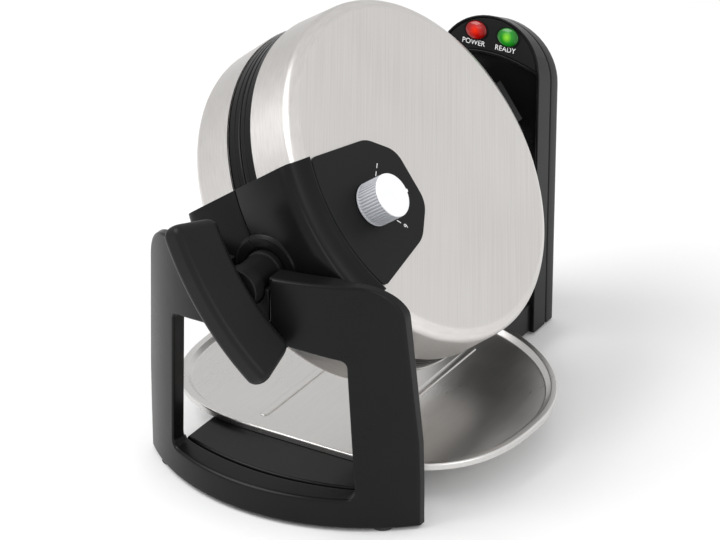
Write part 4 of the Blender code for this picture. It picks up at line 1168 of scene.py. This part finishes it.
def tray_plan(pull):
    """Seen from above: full sides, an oval rear and a front cut off nearly straight."""
    half, back, bow = TRAY_HALF - pull, TRAY_BACK - pull, TRAY_BOW - pull
    points = []
    for i in range(160):
        a = 2 * pi * i / 160
        power, reach = (1.0, back) if sin(a) > 0 else (2 / FULLNESS, bow)
        x = half * abs(cos(a)) ** power * (1 if cos(a) > 0 else -1)
        y = reach * abs(sin(a)) ** power * (1 if sin(a) > 0 else -1)
        flat = TRAY_FRONT + pull
        over = (y - flat) / TRAY_SOFT
        points.append((x, flat + TRAY_SOFT * log(1 + exp(over)) if over < 20 else y))
    return points


section = rounded([(0.0004, TRAY_LOW), (0.0001, TRAY_RIM), (0.0046, TRAY_RIM), (0.0078, TRAY_FLOOR),
                   (FLOOR_INSET, TRAY_FLOOR)], [0, 0.0011, 0.0012, 0.0016, 0], 5, closed=False)
loops = [[(x, y, z) for x, y in tray_plan(pull)] for pull, z in section]
loops += [[(x * k, y * k, TRAY_FLOOR) for x, y in tray_plan(FLOOR_INSET)] for k in (0.85, 0.6, 0.3, 0.02)]
under = [[(x, y, TRAY_LOW) for x, y in tray_plan(0.0004 + k)] for k in (0.004, 0.03)]
tray = loft([*under[::-1], *loops])


def rib(x, y_low, y_high):
    """A long raised rib with round ends, pressed up from the tray's floor."""
    work = bmesh.new()
    bmesh.ops.create_uvsphere(work, u_segments=32, v_segments=16, radius=1)
    middle = (y_low + y_high) / 2
    stretch = (y_high - y_low) / 2 - RIB_HALF
    for vert in work.verts:
        px, py, pz = vert.co
        end = 0 if abs(py) <= 0.001 else stretch if py > 0 else -stretch
        vert.co = (x + px * RIB_HALF, middle + py * RIB_HALF + end, TRAY_FLOOR + pz * RIB_RISE)
    return work


tray = merged(tray, rib(-RIB_X, RIB_FRONT, RIB_REAR), rib(RIB_X, RIB_FRONT, RIB_REAR))
keep("pressed_drip_tray", tray, "tray", TRAY_STEEL, STAND, ["drip_tray"], 50)

# %% [markdown]
# ## The pieces that keep their plain solids
# Blocks such as the hinge's bracket and arm have the right shape already and only need soft
# edges. A copy is welded, its flat faces are joined up, and a bevel rounds what is left.

# %% Soft-edged copies and finishes for the rest
def softened(node, name, body, finish, width):
    work = bmesh.new()
    work.from_mesh(frame["nodes"][node].data)
    bmesh.ops.remove_doubles(work, verts=work.verts, dist=1e-6)
    bmesh.ops.dissolve_limit(work, angle_limit=radians(2), verts=work.verts, edges=work.edges)
    return keep(name, work, body, finish, stands_for=[node], soften=width)


softened("hinge_bracket", "rear_hinge_bracket", "lower_half", GLOSS_BLACK, 0.0008)
softened("lid_arm", "rear_lid_arm", "lid", GLOSS_BLACK, 0.0008)
softened("thermostat", "thermostat_body", "lid", CERAMIC, 0.0004)
softened("terminal_block", "cord_terminal_block", "base", CERAMIC, 0.0006)

CAD_FINISHES = {
    "bright_steel": BRIGHT_STEEL, "brass": BRASS, "board_green": BOARD, "ceramic": CERAMIC,
    "rubber": RUBBER, "black_plastic": GLOSS_BLACK, "soft_black": SOFT_BLACK,
    "steel_cover": COVER_STEEL, "tray_steel": TRAY_STEEL, "panel_grey": PANEL_GREY,
    "cast_plate": NON_STICK, "knob_silver": KNOB_TOP_PAINTED_LIGHT, "red_lens": GLOSS_BLACK,
    "green_lens": GLOSS_BLACK,
}
for entry in frame["record"]["subparts"]:
    node = frame["nodes"][entry["node"]]
    node.data.materials.clear()
    node.data.materials.append(CAD_FINISHES[entry["material_slot"]].material)
    if not node.hide_render:
        node.data.shade_smooth()
        node.data.set_sharp_from_angle(angle=radians(35))
print("finished", len(frame["nodes"]), "solids")

# %% [markdown]
# ## Studio
# A pale floor, a bright sky for the steel to reflect, a little dimmer on the left so that the
# disc's walls are shaded, a large soft lamp from above on the left and a weaker one on the right.

# %% Floor, sky and lamps
FLOOR_REACH = 6
SKY_STRENGTH = 0.90
floor = bpy.data.objects.new("studio_floor", bpy.data.meshes.new("studio_floor"))
corners = [(x * FLOOR_REACH, y * FLOOR_REACH, 0) for x, y in ((-1, -1), (1, -1), (1, 1), (-1, 1))]
floor.data.from_pydata(corners, [], [(0, 1, 2, 3)])
paper = Finish("pale_paper")
shades = paper.mix(paper.noise(paper.place(), 3), (0.90, 0.90, 0.90), (0.94, 0.94, 0.94))
paper.looks(Base_Color=shades, Roughness=0.6)
floor.data.materials.append(paper.material)
bpy.context.scene.collection.objects.link(floor)

sky = bpy.data.worlds.new("studio_sky")
bpy.context.scene.world = sky
sky.use_nodes = True
nodes, links = sky.node_tree.nodes, sky.node_tree.links
background = nodes["Background"]
background.inputs["Strength"].default_value = SKY_STRENGTH
heading = nodes.new("ShaderNodeTexCoord")
sides = nodes.new("ShaderNodeSeparateXYZ")
shade = nodes.new("ShaderNodeValToRGB")
for mark, (at, grey) in zip(shade.color_ramp.elements, ((0.0, 0.72), (0.62, 1.0))):
    mark.position = at
    mark.color = (grey, grey, grey, 1)
widened = nodes.new("ShaderNodeMapRange")
widened.inputs["From Min"].default_value = -1.0
links.new(heading.outputs["Generated"], sides.inputs[0])
links.new(sides.outputs["X"], widened.inputs["Value"])
links.new(widened.outputs["Result"], shade.inputs["Fac"])
links.new(shade.outputs["Color"], background.inputs["Color"])


def soft_lamp(name, place, target, size, power):
    light = bpy.data.lights.new(name, "AREA")
    light.shape = "RECTANGLE"
    light.size, light.size_y = size
    light.energy = power
    made = bpy.data.objects.new(name, light)
    made.location = place
    made.rotation_euler = (Vector(target) - Vector(place)).to_track_quat("-Z", "Y").to_euler()
    bpy.context.scene.collection.objects.link(made)


soft_lamp("key_above_left", (-0.9, -0.8, 1.5), (0, 0, 0.1), (1.2, 1.2), 22)
soft_lamp("fill_right", (1.5, -0.6, 0.7), (0, 0, 0.15), (0.9, 1.2), 6)

# %% [markdown]
# ## Camera
# The view is from the front right and a little above, from far enough away that the tall stand
# hardly narrows. The small shift centres the machine in the frame.

# %% Camera
AZIMUTH, ELEVATION = radians(30.9), radians(26.59)
DISTANCE = 2.3569
LOOK_AT = Vector((0, CENTRE.y, 0.132))
away = Vector((sin(AZIMUTH) * cos(ELEVATION), -cos(AZIMUTH) * cos(ELEVATION), sin(ELEVATION)))
camera = bpy.data.objects.new("camera", bpy.data.cameras.new("camera"))
camera.location = LOOK_AT + away * DISTANCE
camera.rotation_euler = (-away).to_track_quat("-Z", "Y").to_euler()
camera.data.sensor_width = 36
camera.data.lens = 184.05
camera.data.shift_x = -0.0193
camera.data.shift_y = -0.0517
camera.data.clip_start = 0.05
bpy.context.scene.collection.objects.link(camera)
bpy.context.scene.camera = camera
bpy.context.scene.view_settings.view_transform = "Standard"
